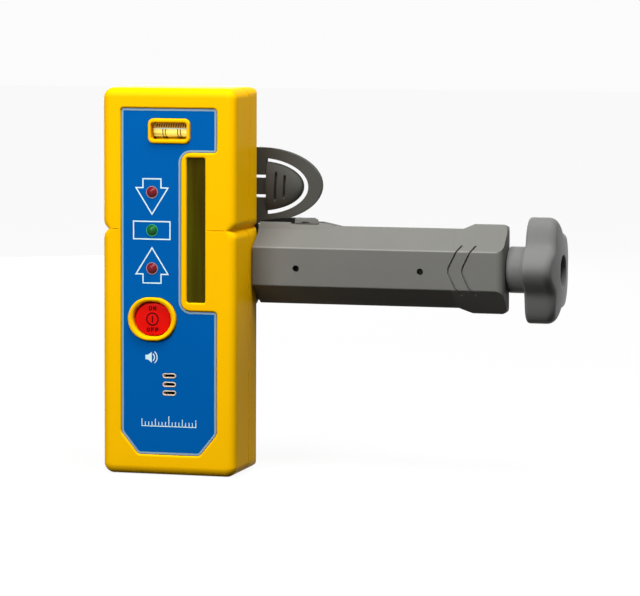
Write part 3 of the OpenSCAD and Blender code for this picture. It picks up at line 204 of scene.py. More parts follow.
def rectangle(x0, z0, x1, z1):
    """Corners of an upright rectangle, in turn to the left."""
    return np.array([[x0, z0], [x1, z0], [x1, z1], [x0, z1]])


def rectangle_about(centre, half):
    """Corners of an upright rectangle, from its middle and its half width and half height."""
    return rectangle(*(centre - half), *(centre + half))


def stadium(centre, width, height, grow=0.0, steps=24):
    """Two half circles joined by straight sides, moved outwards by grow."""
    angle = np.radians(np.linspace(-90, 90, steps + 1))
    half = np.stack([np.cos(angle), np.sin(angle)], 1) * (height / 2 + grow)
    shift = np.array([(width - height) / 2, 0])
    return np.vstack([half + shift, -half - shift]) + np.asarray(centre)


def circle(centre, radius, steps=40):
    """A closed ring of points."""
    angle = np.linspace(0, 2 * np.pi, steps, endpoint=False)
    return np.asarray(centre) + radius * np.stack([np.cos(angle), np.sin(angle)], 1)


def arc_band(centre, radius, width, start, end, steps=14):
    """Outline of a curved bar between two angles in degrees."""
    angle = np.radians(np.linspace(start, end, steps))
    ray = np.stack([np.cos(angle), np.sin(angle)], 1)
    outer, inner = ray * (radius + width / 2), ray[::-1] * (radius - width / 2)
    return np.asarray(centre) + np.vstack([outer, inner])


def at_depth(outline, y):
    """An outline as points in space at depth y, which is one value or one for each point."""
    y = np.broadcast_to(np.asarray(y, float), len(outline))
    return np.stack([outline[:, 0], y, outline[:, 1]], 1)


def inside(points, loops):
    """True for each point that lies inside an odd number of the closed loops."""
    found = np.zeros(len(points), bool)
    for loop in loops:
        a, b = loop, np.roll(loop, -1, 0)
        spans = (a[:, 1] > points[:, 1:2]) != (b[:, 1] > points[:, 1:2])
        rise = np.where(b[:, 1] == a[:, 1], 1.0, b[:, 1] - a[:, 1])
        cross_x = a[:, 0] + (points[:, 1:2] - a[:, 1]) * (b[:, 0] - a[:, 0]) / rise
        found ^= ((points[:, :1] < cross_x) & spans).sum(1) % 2 == 1
    return found


class Skin:
    """The faces of one piece, gathered as grids and flat fills in receiver millimetres."""

    def __init__(self):
        self.points = []
        self.quads = []
        self.triangles = []
        self.count = 0

    def add(self, points):
        """Keeps points and returns the index of the first."""
        first = self.count
        self.points.append(np.asarray(points, float).reshape(-1, 3))
        self.count += len(self.points[-1])
        return first

    def grid(self, rows, closed=True):
        """Quads between neighbouring rows of equal length. Closed rows join their two ends."""
        rows = np.asarray(rows, float)
        index = self.add(rows) + np.arange(rows.shape[0] * rows.shape[1]).reshape(rows.shape[:2])
        if closed:
            index = np.hstack([index, index[:, :1]])
        corners = [index[:-1, :-1], index[:-1, 1:], index[1:, 1:], index[1:, :-1]]
        self.quads.append(np.stack(corners, -1).reshape(-1, 4))

    def rings(self, outlines, depths):
        """A grid through outlines of the front plane, each at its depth."""
        self.grid([at_depth(outline, y) for outline, y in zip(outlines, depths)])

    def flat(self, outer, holes, y):
        """A flat face at depth y, inside the outer outline and outside the holes."""
        loops = [np.asarray(outer, float), *[np.asarray(hole, float) for hole in holes]]
        counts = [len(loop) for loop in loops]
        starts = np.cumsum([0, *counts[:-1]])
        order = [first + np.arange(count) for first, count in zip(starts, counts)]
        edges = np.vstack([np.stack([ring, np.roll(ring, -1)], 1) for ring in order])
        corners = [Vector(point) for point in np.vstack(loops).tolist()]
        found = delaunay_2d_cdt(corners, edges.tolist(), [], 0, 1e-7)
        points, faces = np.array([list(p) for p in found[0]]), np.array(found[2])
        faces = faces[inside(points[faces].mean(1), loops)]
        self.triangles.append(self.add(at_depth(points, y)) + faces)

    def plate(self, outer, holes, front, back):
        """A flat plate between two depths, with straight walls."""
        for y in (front, back):
            self.flat(outer, holes, y)
        for outline in (outer, *holes):
            self.rings([outline, outline], [front, back])

    def between(self, front, back):
        """A closed body between two open grids of equal shape, joined along their edges."""
        front, back = np.asarray(front, float), np.asarray(back, float)
        self.grid(front, closed=False)
        self.grid(back, closed=False)
        rim = [np.concatenate([g[0], g[1:, -1], g[-1, -2::-1], g[-2:0:-1, 0]]) for g in (front, back)]
        self.grid(rim)

    def mesh(self, name, warp=None):
        """Merges equal points, turns collapsed quads into triangles and makes an outward mesh."""
        points = np.vstack(self.points)
        if warp is not None:
            points = warp(points)
        keys = np.round(points / WELD).astype(np.int64)
        _, first, place = np.unique(keys, axis=0, return_index=True, return_inverse=True)
        place = place.reshape(-1)
        quads = place[np.vstack(self.quads)] if self.quads else np.zeros((0, 4), int)
        equal = quads == np.roll(quads, -1, 1)
        faces = quads[~equal.any(1)].tolist()
        for side in range(4):
            faces += np.delete(quads[equal[:, side] & (equal.sum(1) == 1)], side, 1).tolist()
        if self.triangles:
            faces += place[np.vstack(self.triangles)].tolist()
        made = bpy.data.meshes.new(name)
        made.from_pydata((points[first] * MM + ORIGIN).tolist(), [], faces)
        work = bmesh.new()
        work.from_mesh(made)
        bmesh.ops.recalc_face_normals(work, faces=work.faces)
        work.to_mesh(made)
        work.free()
        return made

    def piece(self, name, body, material, slot=None, stands_for=(), sharp=35, warp=None):
        """Makes the piece's object, which rides on a body and may stand for solids."""
        made = self.mesh(name, warp)
        made.shade_smooth()
        made.set_sharp_from_angle(angle=math.radians(sharp))
        made.materials.append(material)
        obj = bpy.data.objects.new(name, made)
        bpy.context.scene.collection.objects.link(obj)
        even = obj.modifiers.new("Even shading", "WEIGHTED_NORMAL")
        even.keep_sharp = True
        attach(obj, body)
        if stands_for:
            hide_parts(*stands_for)
        return obj


def plates(parts, front, back):
    """A skin of flat plates between two depths. Each part is an outline followed by its holes."""
    skin = Skin()
    for outline, *holes in parts:
        skin.plate(outline, holes, front, back)
    return skin


def fillet(radius, steps=ARC_STEPS):
    """Sideways step and depth along a quarter round, from its flat end to its upright end."""
    angle = np.radians(np.linspace(0, 90, steps + 1))
    return radius * (1 - np.sin(angle)), radius * (1 - np.cos(angle))


def dress_solid(node, material, edge=0.3, limit=40):
    """Gives a solid its material, and rounds the edges that turn by more than limit degrees."""
    obj = NODES[node]
    obj.data.materials.clear()
    obj.data.materials.append(material)
    obj.data.shade_smooth()
    weld = obj.modifiers.new("Join faces", "WELD")
    weld.merge_threshold = WELD * MM * 4
    if edge:
        bevel = obj.modifiers.new("Round edges", "BEVEL")
        bevel.width = edge * MM
        bevel.segments = 3
        bevel.limit_method = "ANGLE"
        bevel.angle_limit = math.radians(limit)
        bevel.use_clamp_overlap = True
    even = obj.modifiers.new("Even shading", "WEIGHTED_NORMAL")
    even.weight = 60


def dress_solids(finish, looks):
    """Gives each solid of a table its finish and the radius of its edges."""
    for node, (look, edge) in looks.items():
        dress_solid(node, finish[look], edge)


# Shader parts
def connect(tree, node, *ordered, **named):
    """Fills a node's inputs, given in order or by name, with values or with other nodes' sockets."""
    places = [*enumerate(ordered), *((key.replace("_", " "), value) for key, value in named.items())]
    for place, value in places:
        if isinstance(value, bpy.types.NodeSocket):
            tree.links.new(value, node.inputs[place])
        else:
            node.inputs[place].default_value = value
    return node


def add_node(tree, kind, settings=None, *ordered, **named):
    """A new shader node with its settings and its inputs."""
    made = tree.nodes.new(kind)
    for key, value in (settings or {}).items():
        setattr(made, key, value)
    return connect(tree, made, *ordered, **named)


def colour_ramp(tree, value, stops):
    """A colour that runs through stops, each a position and a colour, as a value rises."""
    made = add_node(tree, "ShaderNodeValToRGB", None, value)
    elements = made.color_ramp.elements
    for element, (position, tint) in zip((elements[0], elements[1]), (stops[0], stops[-1])):
        element.position = position
        element.color = (*tint, 1.0)
    for position, tint in stops[1:-1]:
        elements.new(position).color = (*tint, 1.0)
    return made.outputs["Color"]


def new_group(name, inputs, outputs):
    """An empty shader group with named sockets, and its input and output nodes."""
    group = bpy.data.node_groups.new(name, "ShaderNodeTree")
    for label, kind, default in inputs:
        socket = group.interface.new_socket(label, in_out="INPUT", socket_type=kind)
        if default is not None:
            socket.default_value = default
    for label, kind in outputs:
        group.interface.new_socket(label, in_out="OUTPUT", socket_type=kind)
    return group, group.nodes.new("NodeGroupInput"), group.nodes.new("NodeGroupOutput")


def moulded_skin():
    """Group for moulded plastic: fine spark grain as a height, and slow changes of tone and gloss."""
    name = "Moulded skin"
    if name in bpy.data.node_groups:
        return bpy.data.node_groups[name]
    group, source, result = new_group(
        name,
        [
            ("Place", "NodeSocketVector", None),
            ("Colour", "NodeSocketColor", (0.5, 0.5, 0.5, 1.0)),
            ("Grain Scale", "NodeSocketFloat", 2600.0),
            ("Tone Change", "NodeSocketFloat", 0.05),
            ("Roughness", "NodeSocketFloat", 0.4),
            ("Gloss Change", "NodeSocketFloat", 0.08),
        ],
        [("Colour", "NodeSocketColor"), ("Roughness", "NodeSocketFloat"), ("Height", "NodeSocketFloat")],
    )
    given = source.outputs
    place = given["Place"]
    grain = add_node(group, "ShaderNodeTexNoise", Vector=place, Scale=given["Grain Scale"], Detail=2.0)
    cloud = add_node(group, "ShaderNodeTexNoise", Vector=place, Scale=34.0, Detail=3.0, Roughness=0.55)
    centred = add_node(group, "ShaderNodeMath", {"operation": "SUBTRACT"}, cloud.outputs["Fac"], 0.5)
    spread = {"operation": "MULTIPLY_ADD"}
    drift = centred.outputs[0]
    tone = add_node(group, "ShaderNodeMath", spread, drift, given["Tone Change"], 1.0)
    gloss = add_node(group, "ShaderNodeMath", spread, drift, given["Gloss Change"], given["Roughness"])
    tinted = add_node(group, "ShaderNodeHueSaturation", Color=given["Colour"], Value=tone.outputs[0])
    height = grain.outputs["Fac"]
    connect(group, result, Colour=tinted.outputs["Color"], Roughness=gloss.outputs[0], Height=height)
    return group


def painted_edge_highlight():
    """Group for a painted highlight along an edge that runs along x: lighter within a small distance of
    it.
    """
    name = "Rubbed edge"
    if name in bpy.data.node_groups:
        return bpy.data.node_groups[name]
    group, source, result = new_group(
        name,
        [
            ("Place", "NodeSocketVector", None),
            ("Edge", "NodeSocketVector", None),
            ("Colour", "NodeSocketColor", (0.5, 0.5, 0.5, 1.0)),
            ("Reach", "NodeSocketFloat", 0.0007),
            ("Lift", "NodeSocketFloat", 1.6),
        ],
        [("Colour", "NodeSocketColor")],
    )
    given = source.outputs
    flat = add_node(
        group, "ShaderNodeVectorMath", {"operation": "MULTIPLY"}, given["Place"], (0.0, 1.0, 1.0)
    )
    away = add_node(
        group, "ShaderNodeVectorMath", {"operation": "DISTANCE"}, flat.outputs["Vector"], given["Edge"]
    )
    near = add_node(
        group, "ShaderNodeMapRange", {"interpolation_type": "SMOOTHSTEP"},
        Value=away.outputs["Value"], From_Max=given["Reach"], To_Min=given["Lift"], To_Max=1.0,
    )
    tinted = add_node(group, "ShaderNodeHueSaturation", Color=given["Colour"], Value=near.outputs[0])
    connect(group, result, Colour=tinted.outputs["Color"])
    return group


# The arm's section: half height of its flat front, height of its upper ridge above the screw's
# axis, and rise of the facet between them for each millimetre of depth
ARM_FLAT_HALF = 8.2
ARM_RIDGE_H = 17.0
ARM_FACET_SLOPE = 0.68


def screw_axis():
    """Depth and height of the clamp screw's axis."""
    low, high = span("lead_screw")
    return (low + high)[1:] / 2


def arm_edge():
    """The arm's upper front edge, where the flat front meets the facet above it, in the frame."""
    y = span("arm_housing")[0][1]
    z = screw_axis()[1] + ARM_FLAT_HALF
    return (0.0, y * MM + ORIGIN[1], z * MM + ORIGIN[2])


def new_material(name):
    """An empty node material with its output, Principled shader and Object coordinates."""
    made = bpy.data.materials.new(name)
    made.use_nodes = True
    tree = made.node_tree
    tree.nodes.clear()
    shader = tree.nodes.new("ShaderNodeBsdfPrincipled")
    output = tree.nodes.new("ShaderNodeOutputMaterial")
    tree.links.new(shader.outputs[0], output.inputs[0])
    place = tree.nodes.new("ShaderNodeTexCoord").outputs["Object"]
    return made, tree, shader, place


def moulded(name, tint, roughness=0.4, grain=0.05, grain_scale=2600.0, tone=0.05, metallic=0.0,
            specular=0.04, coat=0.0, painted_glow=0.0, edge_highlight=None):
    """A material on the moulded skin group, with its own grain, gloss and coat. Painted glow is the part
    of its colour that it gives out as painted light, and the edge highlight is a painted highlight along
    an edge."""
    if name in bpy.data.materials:
        return bpy.data.materials[name]
    made, tree, shader, place = new_material(name)
    skin = add_node(
        tree, "ShaderNodeGroup", {"node_tree": moulded_skin()},
        Place=place, Colour=(*tint, 1.0), Grain_Scale=grain_scale, Tone_Change=tone, Roughness=roughness,
    )
    bump = add_node(
        tree, "ShaderNodeBump", Height=skin.outputs["Height"], Strength=grain, Distance=BUMP_DEPTH
    )
    tone_out = skin.outputs["Colour"]
    # Painted highlight: the colour is lighter near the given edge.
    if edge_highlight:
        group = {"node_tree": painted_edge_highlight()}
        highlighted = add_node(tree, "ShaderNodeGroup", group, Place=place, Edge=edge_highlight, Colour=tone_out)
        tone_out = highlighted.outputs["Colour"]
    connect(
        tree, shader, Base_Color=tone_out, Roughness=skin.outputs["Roughness"], Normal=bump.outputs[0],
        Metallic=metallic, Specular_IOR_Level=specular, Coat_Weight=coat,
    )
    # Painted glow: the surface gives out part of its own colour as light, though it is no lamp.
    if painted_glow:
        connect(tree, shader, Emission_Color=skin.outputs["Colour"], Emission_Strength=painted_glow)
    made.diffuse_color = (*tint, 1.0)
    return made


def clear(name, tint, roughness=0.05, ior=1.47):
    """A see-through material such as acrylic or a liquid."""
    if name in bpy.data.materials:
        return bpy.data.materials[name]
    made, tree, shader, place = new_material(name)
    haze = add_node(tree, "ShaderNodeTexNoise", Vector=place, Scale=600.0, Detail=2.0).outputs["Fac"]
    bump = add_node(tree, "ShaderNodeBump", Height=haze, Strength=0.02, Distance=BUMP_DEPTH)
    connect(
        tree, shader, Base_Color=(*tint, 1.0), Roughness=roughness, IOR=ior, Transmission_Weight=1.0,
        Normal=bump.outputs[0],
    )
    return made


def filter_pane_material(tint):
    """Dark smoked filter: glossy, with slow upright streaks between brown and olive."""
    made, tree, shader, place = new_material("Smoked filter")
    stretch = add_node(tree, "ShaderNodeMapping", Vector=place, Scale=(300.0, 300.0, 14.0))
    streak = add_node(tree, "ShaderNodeTexNoise", Vector=stretch.outputs[0], Scale=1.0, Detail=3.0)
    brown = (tint[0] * 0.75, tint[1] * 0.55, tint[2])
    olive = (tint[0] * 1.15, tint[1] * 1.35, tint[2])
    shade = colour_ramp(tree, streak.outputs["Fac"], [(0.32, brown), (0.7, olive)])
    connect(tree, shader, Base_Color=shade, Roughness=0.22, Specular_IOR_Level=0.03)
    return made


def finishes():
    """Every finish by its name, made once: its colour, roughness, strength and scale of the grain,
    and change of tone."""
    tints = bpy.context.scene.receiver_colours
    return {
        "yellow": moulded("Yellow case plastic", tints.yellow, 0.42, 0.06, 2400.0, 0.06, specular=0.012),
        "blue": moulded("Blue label film", tints.blue, 0.42, 0.05, 5200.0, 0.08, specular=0.02),
        "border": moulded("Label edge line", tints.border, 0.4, 0.03, 5200.0),
        "ink": moulded("White print", tints.ink, 0.5, 0.03, 6000.0),
        "red": moulded("Red button plastic", tints.red, 0.32, 0.04, 2600.0, 0.1),
        "maroon": moulded("Dark red print", tints.maroon, 0.5, 0.03, 6000.0, specular=0.05),
        "lamp_red": moulded("Red lamp lens", tints.lamp_red, 0.16, 0.02, 900.0, 0.5, specular=0.2),
        "lamp_green": moulded("Green lamp lens", tints.lamp_green, 0.16, 0.02, 900.0, 0.5, specular=0.2),
        "collar_red": moulded("Red lamp collar", (0.5, 0.26, 0.29), 0.3, 0.03, 3000.0),
        "collar_green": moulded("Green lamp collar", (0.05, 0.42, 0.17), 0.3, 0.03, 3000.0),
        "cream": moulded("Cream rim plastic", tints.cream, 0.45, 0.05, 3000.0),
        "grey": moulded("Clamp plastic", tints.grey, 0.36, 0.12, 1900.0, 0.14, specular=0.006),
        # The arm's upper front edge gets a painted highlight, a lighter band along it.
        "arm": moulded(
            "Arm plastic", tints.grey, 0.36, 0.12, 1900.0, 0.14, specular=0.006, edge_highlight=arm_edge()
        ),
        "dark": moulded("Latch plastic", tints.dark_grey, 0.45, 0.3, 1500.0, 0.25, specular=0.015),
        "knob": moulded("Knob plastic", tints.knob_grey, 0.3, 0.08, 1900.0, 0.1, specular=0.03),
        "black": moulded("Black plastic", (0.012, 0.012, 0.012), 0.5, 0.1, 2000.0),
        "rubber": moulded("Black rubber", (0.016, 0.016, 0.017), 0.75, 0.3, 1200.0, 0.2),
        "steel": moulded("Bright steel", (0.4, 0.4, 0.42), 0.32, 0.05, 900.0, 0.1, metallic=1.0),
        "bronze": moulded("Bearing bronze", (0.55, 0.34, 0.14), 0.38, 0.1, 1500.0, 0.15, metallic=1.0),
        "brass": moulded("Nut brass", (0.68, 0.48, 0.18), 0.32, 0.06, 900.0, 0.12, metallic=1.0),
        "board": moulded("Green circuit board", (0.012, 0.11, 0.05), 0.4, 0.06, 1200.0, 0.2, coat=0.3),
        "silicon": moulded("Detector silicon", (0.02, 0.02, 0.05), 0.18, 0.02, 600.0, 0.2, coat=0.5),
        "sleeve": moulded("Cell sleeve", (0.5, 0.3, 0.09), 0.35, 0.05, 500.0, 0.1, coat=0.3),
        # The level's liquid, scale strip and bubble glow with painted light so that they look lit inside
        # the bezel.
        "liquid": moulded("Level liquid", (0.95, 0.76, 0.16), 0.2, 0.02, 700.0, 0.5, painted_glow=0.7),
        "scale": moulded("Level scale", (0.6, 0.34, 0.06), 0.5, 0.05, 3000.0, 0.3, painted_glow=0.2),
        "bubble": moulded("Bubble", (0.97, 0.84, 0.3), 0.1, 0.02, 700.0, 0.3, painted_glow=0.7),
        "mark": moulded("Level marks", (0.06, 0.028, 0.004), 0.5, 0.03, 3000.0),
    }


# Outlines of the receiver
def label_outline(sizes, grow=0.0):
    """The face label: a block with a cut-out beside the window and two lower chamfers."""
    low, high = span("face_label")
    pane_low, pane_high = span("sensor_window")
    ledge = mm(sizes.window_ledge)
    inner = pane_low[0] + ledge - mm(sizes.window_rim)
    cut_top = pane_high[2] - ledge + mm(sizes.cut_rim_top)
    cut_low = pane_low[2] + ledge - mm(sizes.cut_rim_low)
    wide, tall = mm(sizes.chamfer_w), mm(sizes.chamfer_h)
    corners = [
        (low[0] + wide, low[2]), (high[0] - wide, low[2]), (high[0], low[2] + tall), (high[0], cut_low),
        (inner, cut_low), (inner, cut_top), (high[0], cut_top), (high[0], high[2]),
        (low[0], high[2]), (low[0], low[2] + tall),
    ]
    sharp, cut, slant = mm(sizes.label_r), mm(sizes.label_cut_r), mm(sizes.label_chamfer_r)
    radii = [slant, slant, slant, sharp, cut, cut, sharp, sharp, sharp, slant]
    return rounded_outline(corners, radii, grow)


def window_outline(sizes, grow=0.0):
    """The window opening, which is the pane less its ledge."""
    low, high = span("sensor_window")
    ledge = mm(sizes.window_ledge)
    corners = rectangle(low[0] + ledge, low[2] + ledge, high[0] - ledge, high[2] - ledge)
    return rounded_outline(corners, mm(sizes.lip_r), grow)


def middle(node):
    """Middle of a solid as seen from the front."""
    low, high = span(node)
    return (low + high)[[0, 2]] / 2


def front_size(node, less):
    """Width and height of a solid as seen from the front, less a flange on each side."""
    low, high = span(node)
    return (high - low)[[0, 2]] - 2 * less


# Each lamp's finish, the step between the sounder's rims and the size of one, the flange behind
# the button's cap, and the corner radius of the level's bezel
LAMPS = {"high_led": "lamp_red", "on_grade_led": "lamp_green", "low_led": "lamp_red"}
SOUNDER_STEP = 3.7
SOUNDER_RIM = (6.0, 2.2)
CAP_FLANGE = 1.0
VIAL_CORNER_R = 2.5


def trim_holes(sizes, grow):
    """Outlines of the vial bezel, button bezel, lamps and sounder rims, moved outwards by grow."""
    lip = mm(sizes.trim_lip)
    vial = rectangle_about(middle("vial_bezel"), front_size("vial_bezel", lip) / 2)
    holes = [rounded_outline(vial, VIAL_CORNER_R, grow)]
    holes.append(stadium(middle("button_bezel"), *front_size("button_bezel", lip), grow))
    holes += [circle(middle(lamp), mm(sizes.led_r) + grow) for lamp in LAMPS]
    sounder = middle("speaker_grille")
    for step in (-1, 0, 1):
        holes.append(stadium(sounder + (0, step * SOUNDER_STEP), *SOUNDER_RIM, grow, 10))
    return holes


def notch_inset(height, depth, half):
    """How far a notch reaches in at each height: two round shoulders that meet in a sharp valley.
    Each shoulder is an arc that leaves the side upright at the notch's end."""
    radius = (depth**2 + half**2) / (2 * depth)
    return radius - np.sqrt(np.maximum(radius**2 - (half - np.abs(height)) ** 2, 0))


def case_loop(sizes, inset, notch=1.0):
    """Front outline of the body, moved in by inset, with a notch on each side of that share of
    its full depth."""
    low, high = span("front_case")
    half_w = (high[0] - low[0]) / 2 - inset
    corners = rectangle(-half_w, low[2] + inset, half_w, high[2] - inset)
    least_r, notch_steps = 0.5, 16
    arcs = rounded_outline(corners, max(mm(sizes.corner_r) - inset, least_r)).reshape(4, -1, 2)
    half = mm(sizes.notch_h) / 2
    height = np.linspace(-half, half, notch_steps + 1)
    reach = half_w - notch_inset(height, notch * mm(sizes.notch_depth), half)
    right = np.stack([reach, height], 1)
    return np.vstack([arcs[0], arcs[1], right, arcs[2], arcs[3], -right])


def front_notch_share(sizes, inset):
    """The notch runs out to a quarter of its depth where the front edge meets the flat face."""
    return 1 - 0.75 * inset / mm(sizes.front_edge_r)


class ReceiverOperator(bpy.types.Operator):
    """Shared base of the operators that build the receiver."""

    bl_options = {"REGISTER", "UNDO"}

    def execute(self, context):
        self.build(context.scene.receiver_sizes, finishes())
        return {"FINISHED"}


class RECEIVER_OT_front_case(ReceiverOperator):
    """Front shell: round front edges, side notches, label recess, window and trim holes"""

    bl_idname = "receiver.front_case"
    bl_label = "Front case"

    def build(self, sizes, finish):
        skin = Skin()
        wall, seam = mm(sizes.wall), mm(sizes.seam_r)
        back = span("front_case")[1][1]
        step, depth = fillet(mm(sizes.front_edge_r))
        seam_step, seam_depth = fillet(seam, 3)
        insets = [*step, 0.0, *seam_step[::-1][1:], wall, wall]
        depths = [*depth, back - seam, *(back - seam_depth[::-1][1:]), back, wall]
        shares = np.ones(len(insets))
        shares[: len(step)] = front_notch_share(sizes, step)
        loops = [case_loop(sizes, inset, share) for inset, share in zip(insets, shares)]
        skin.rings(loops, depths)
        self.face(skin, sizes, loops[0])
        self.recess(skin, sizes)
        self.window(skin, sizes)
        gap = mm(sizes.fit_gap)
        pane = window_outline(sizes, mm(sizes.window_ledge) + gap)
        skin.flat(loops[-1], [*trim_holes(sizes, gap), pane], wall)
        skin.piece("front_case_shell", "receiver", finish["yellow"], "yellow_plastic", ["front_case"])

    def face(self, skin, sizes, edge):
        """The flat front, and the line scored across it on both sides of the label and window."""
        lip, gap = mm(sizes.lip_r), mm(sizes.fit_gap)
        label_low, _ = span("face_label")
        _, pane_high = span("sensor_window")
        half, deep, land = mm(sizes.score_w) / 2, mm(sizes.score_depth), 0.1
        valley = np.abs(edge[:, 0][np.abs(edge[:, 1]) < half]).min() - land
        starts = (-valley, pane_high[0] - mm(sizes.window_ledge) + lip + gap)
        ends = (label_low[0] - gap - lip - land, valley)
        scores = [rectangle(x0, -half, x1, half) for x0, x1 in zip(starts, ends)]
        holes = [label_outline(sizes, gap + lip), window_outline(sizes, lip), *scores]
        skin.flat(edge, holes, 0.0)
        for x0, x1 in zip(starts, ends):
            side = np.array([[x0, 0, -half], [x1, 0, -half]])
            floor = np.array([[x0 + half, deep, 0], [x1 - half, deep, 0]])
            skin.grid([side, floor, side * (1, 1, -1)], closed=False)
            for end in (0, 1):
                skin.triangles.append(
                    skin.add([side[end], floor[end], side[end] * (1, 1, -1)]) + np.array([[0, 1, 2]])
                )

    def recess(self, skin, sizes):
        """The label's recess with its rounded lip, and the walls of the trim's holes."""
        gap, depth, wall = mm(sizes.fit_gap), mm(sizes.recess), mm(sizes.wall)
        step, drop = fillet(mm(sizes.lip_r))
        loops = [label_outline(sizes, gap + s) for s in step]
        skin.rings([*loops, loops[-1]], [*drop, depth])
        holes = trim_holes(sizes, gap)
        skin.flat(loops[-1], holes, depth)
        for hole in holes:
            skin.rings([hole, hole], [depth, wall])

    def window(self, skin, sizes):
        """The window's rounded lip, its wall and the ledge that the pane sits on."""
        step, drop = fillet(mm(sizes.lip_r))
        loops = [window_outline(sizes, s) for s in step]
        pane = window_outline(sizes, mm(sizes.window_ledge) + mm(sizes.fit_gap))
        ledge_y = span("sensor_window")[0][1]
        skin.rings([*loops, loops[-1], pane, pane], [*drop, ledge_y, ledge_y, mm(sizes.wall)])


class RECEIVER_OT_rear_case(ReceiverOperator):
    """Rear shell, battery door, gaskets, hinge pin and case screws"""

    bl_idname = "receiver.rear_case"
    bl_label = "Rear case and door"

    def build(self, sizes, finish):
        dress_solids(finish, {
            "rear_case": ("yellow", 0.3),
            "battery_door": ("yellow", 0.35),
            "case_seal": ("yellow", 0.0),
            "door_seal": ("rubber", 0.1),
            "case_screws": ("steel", 0.2),
            "door_hinge_pin": ("steel", 0.1),
        })


class RECEIVER_OT_face_label(ReceiverOperator):
    """Blue face label with its edge line, arrows, level mark, sound sign and scale"""

    bl_idname = "receiver.face_label"
    bl_label = "Face label"

    def build(self, sizes, finish):
        low, high = span("face_label")
        top, ink = low[1], low[1] - mm(sizes.print_t)
        edge_gap, edge_w = 0.12, 0.83
        film = [(label_outline(sizes), *trim_holes(sizes, mm(sizes.fit_gap)))]
        plates(film, top, high[1]).piece(
            "face_label_film", "receiver", finish["blue"], "blue_label", ["face_label"]
        )
        edge = [(label_outline(sizes, -edge_gap), label_outline(sizes, -edge_gap - edge_w))]
        plates(edge, ink, top).piece("label_edge_line", "receiver", finish["border"], "blue_label")
        print_parts = [*self.arrows(sizes), *self.sound_sign(), *self.scale()]
        plates(print_parts, ink, top).piece("label_print", "receiver", finish["ink"], "blue_label")

    def arrows(self, sizes):
        """Outlined arrows that point to the on-grade mark, and the mark's outlined box."""
        half = mm(sizes.line_w) / 2
        x = middle("on_grade_led")[0]
        shaft, shoulder, tip, wing, tail, drop = 4.0, 7.1, 6.6, 17.8, 21.6, 1.1
        mark_left, mark_low, mark_right, mark_top = -8.2, -4.0, 8.0, 3.5
        down = np.array([(0, tip), (shoulder, wing), (shaft, wing), (shaft, tail),
                         (-shaft, tail), (-shaft, wing), (-shoulder, wing)])
        box = rectangle(mark_left, mark_low, mark_right, mark_top)
        up = (down * (1, -1) - (0, drop))[::-1]
        for shape in (down, box, up):
            yield mitred_outline(shape + (x, 0), half), mitred_outline(shape + (x, 0), -half)

    def sound_sign(self):
        """A small horn with two sound arcs."""
        below_button, source = (-0.4, -16.3), (-0.6, 0.0)
        back, neck, front, throat, bell = -2.7, -1.6, 0.1, 1.0, 2.3
        stroke, fan = 0.42, 52
        centre = middle("button_bezel") + below_button
        horn = np.array([(back, -throat), (neck, -throat), (front, -bell),
                         (front, bell), (neck, throat), (back, throat)])
        yield (horn + centre,)
        for radius in (1.9, 3.1):
            yield (arc_band(centre + source, radius, stroke, -fan, fan),)

    def scale(self):
        """A plain ruled scale: a base line with long and short ticks."""
        low, high = span("face_label")
        above_edge, step, count, base, overrun = 14.5, 1.5, 8, -2.2, 0.2
        line, half, lift = 0.35, 0.17, 0.05
        middle_tick, long_tick, short_tick, long_every = 4.2, 3.0, 1.7, 4
        centre = np.array([(low[0] + high[0]) / 2, low[2] + above_edge])
        reach = step * count + overrun
        yield (rectangle(-reach, base - line, reach, base) + centre,)
        for i in range(-count, count + 1):
            rise = middle_tick if i == 0 else long_tick if i % long_every == 0 else short_tick
            yield (rectangle(i * step - half, base + lift, i * step + half, base + rise) + centre,)


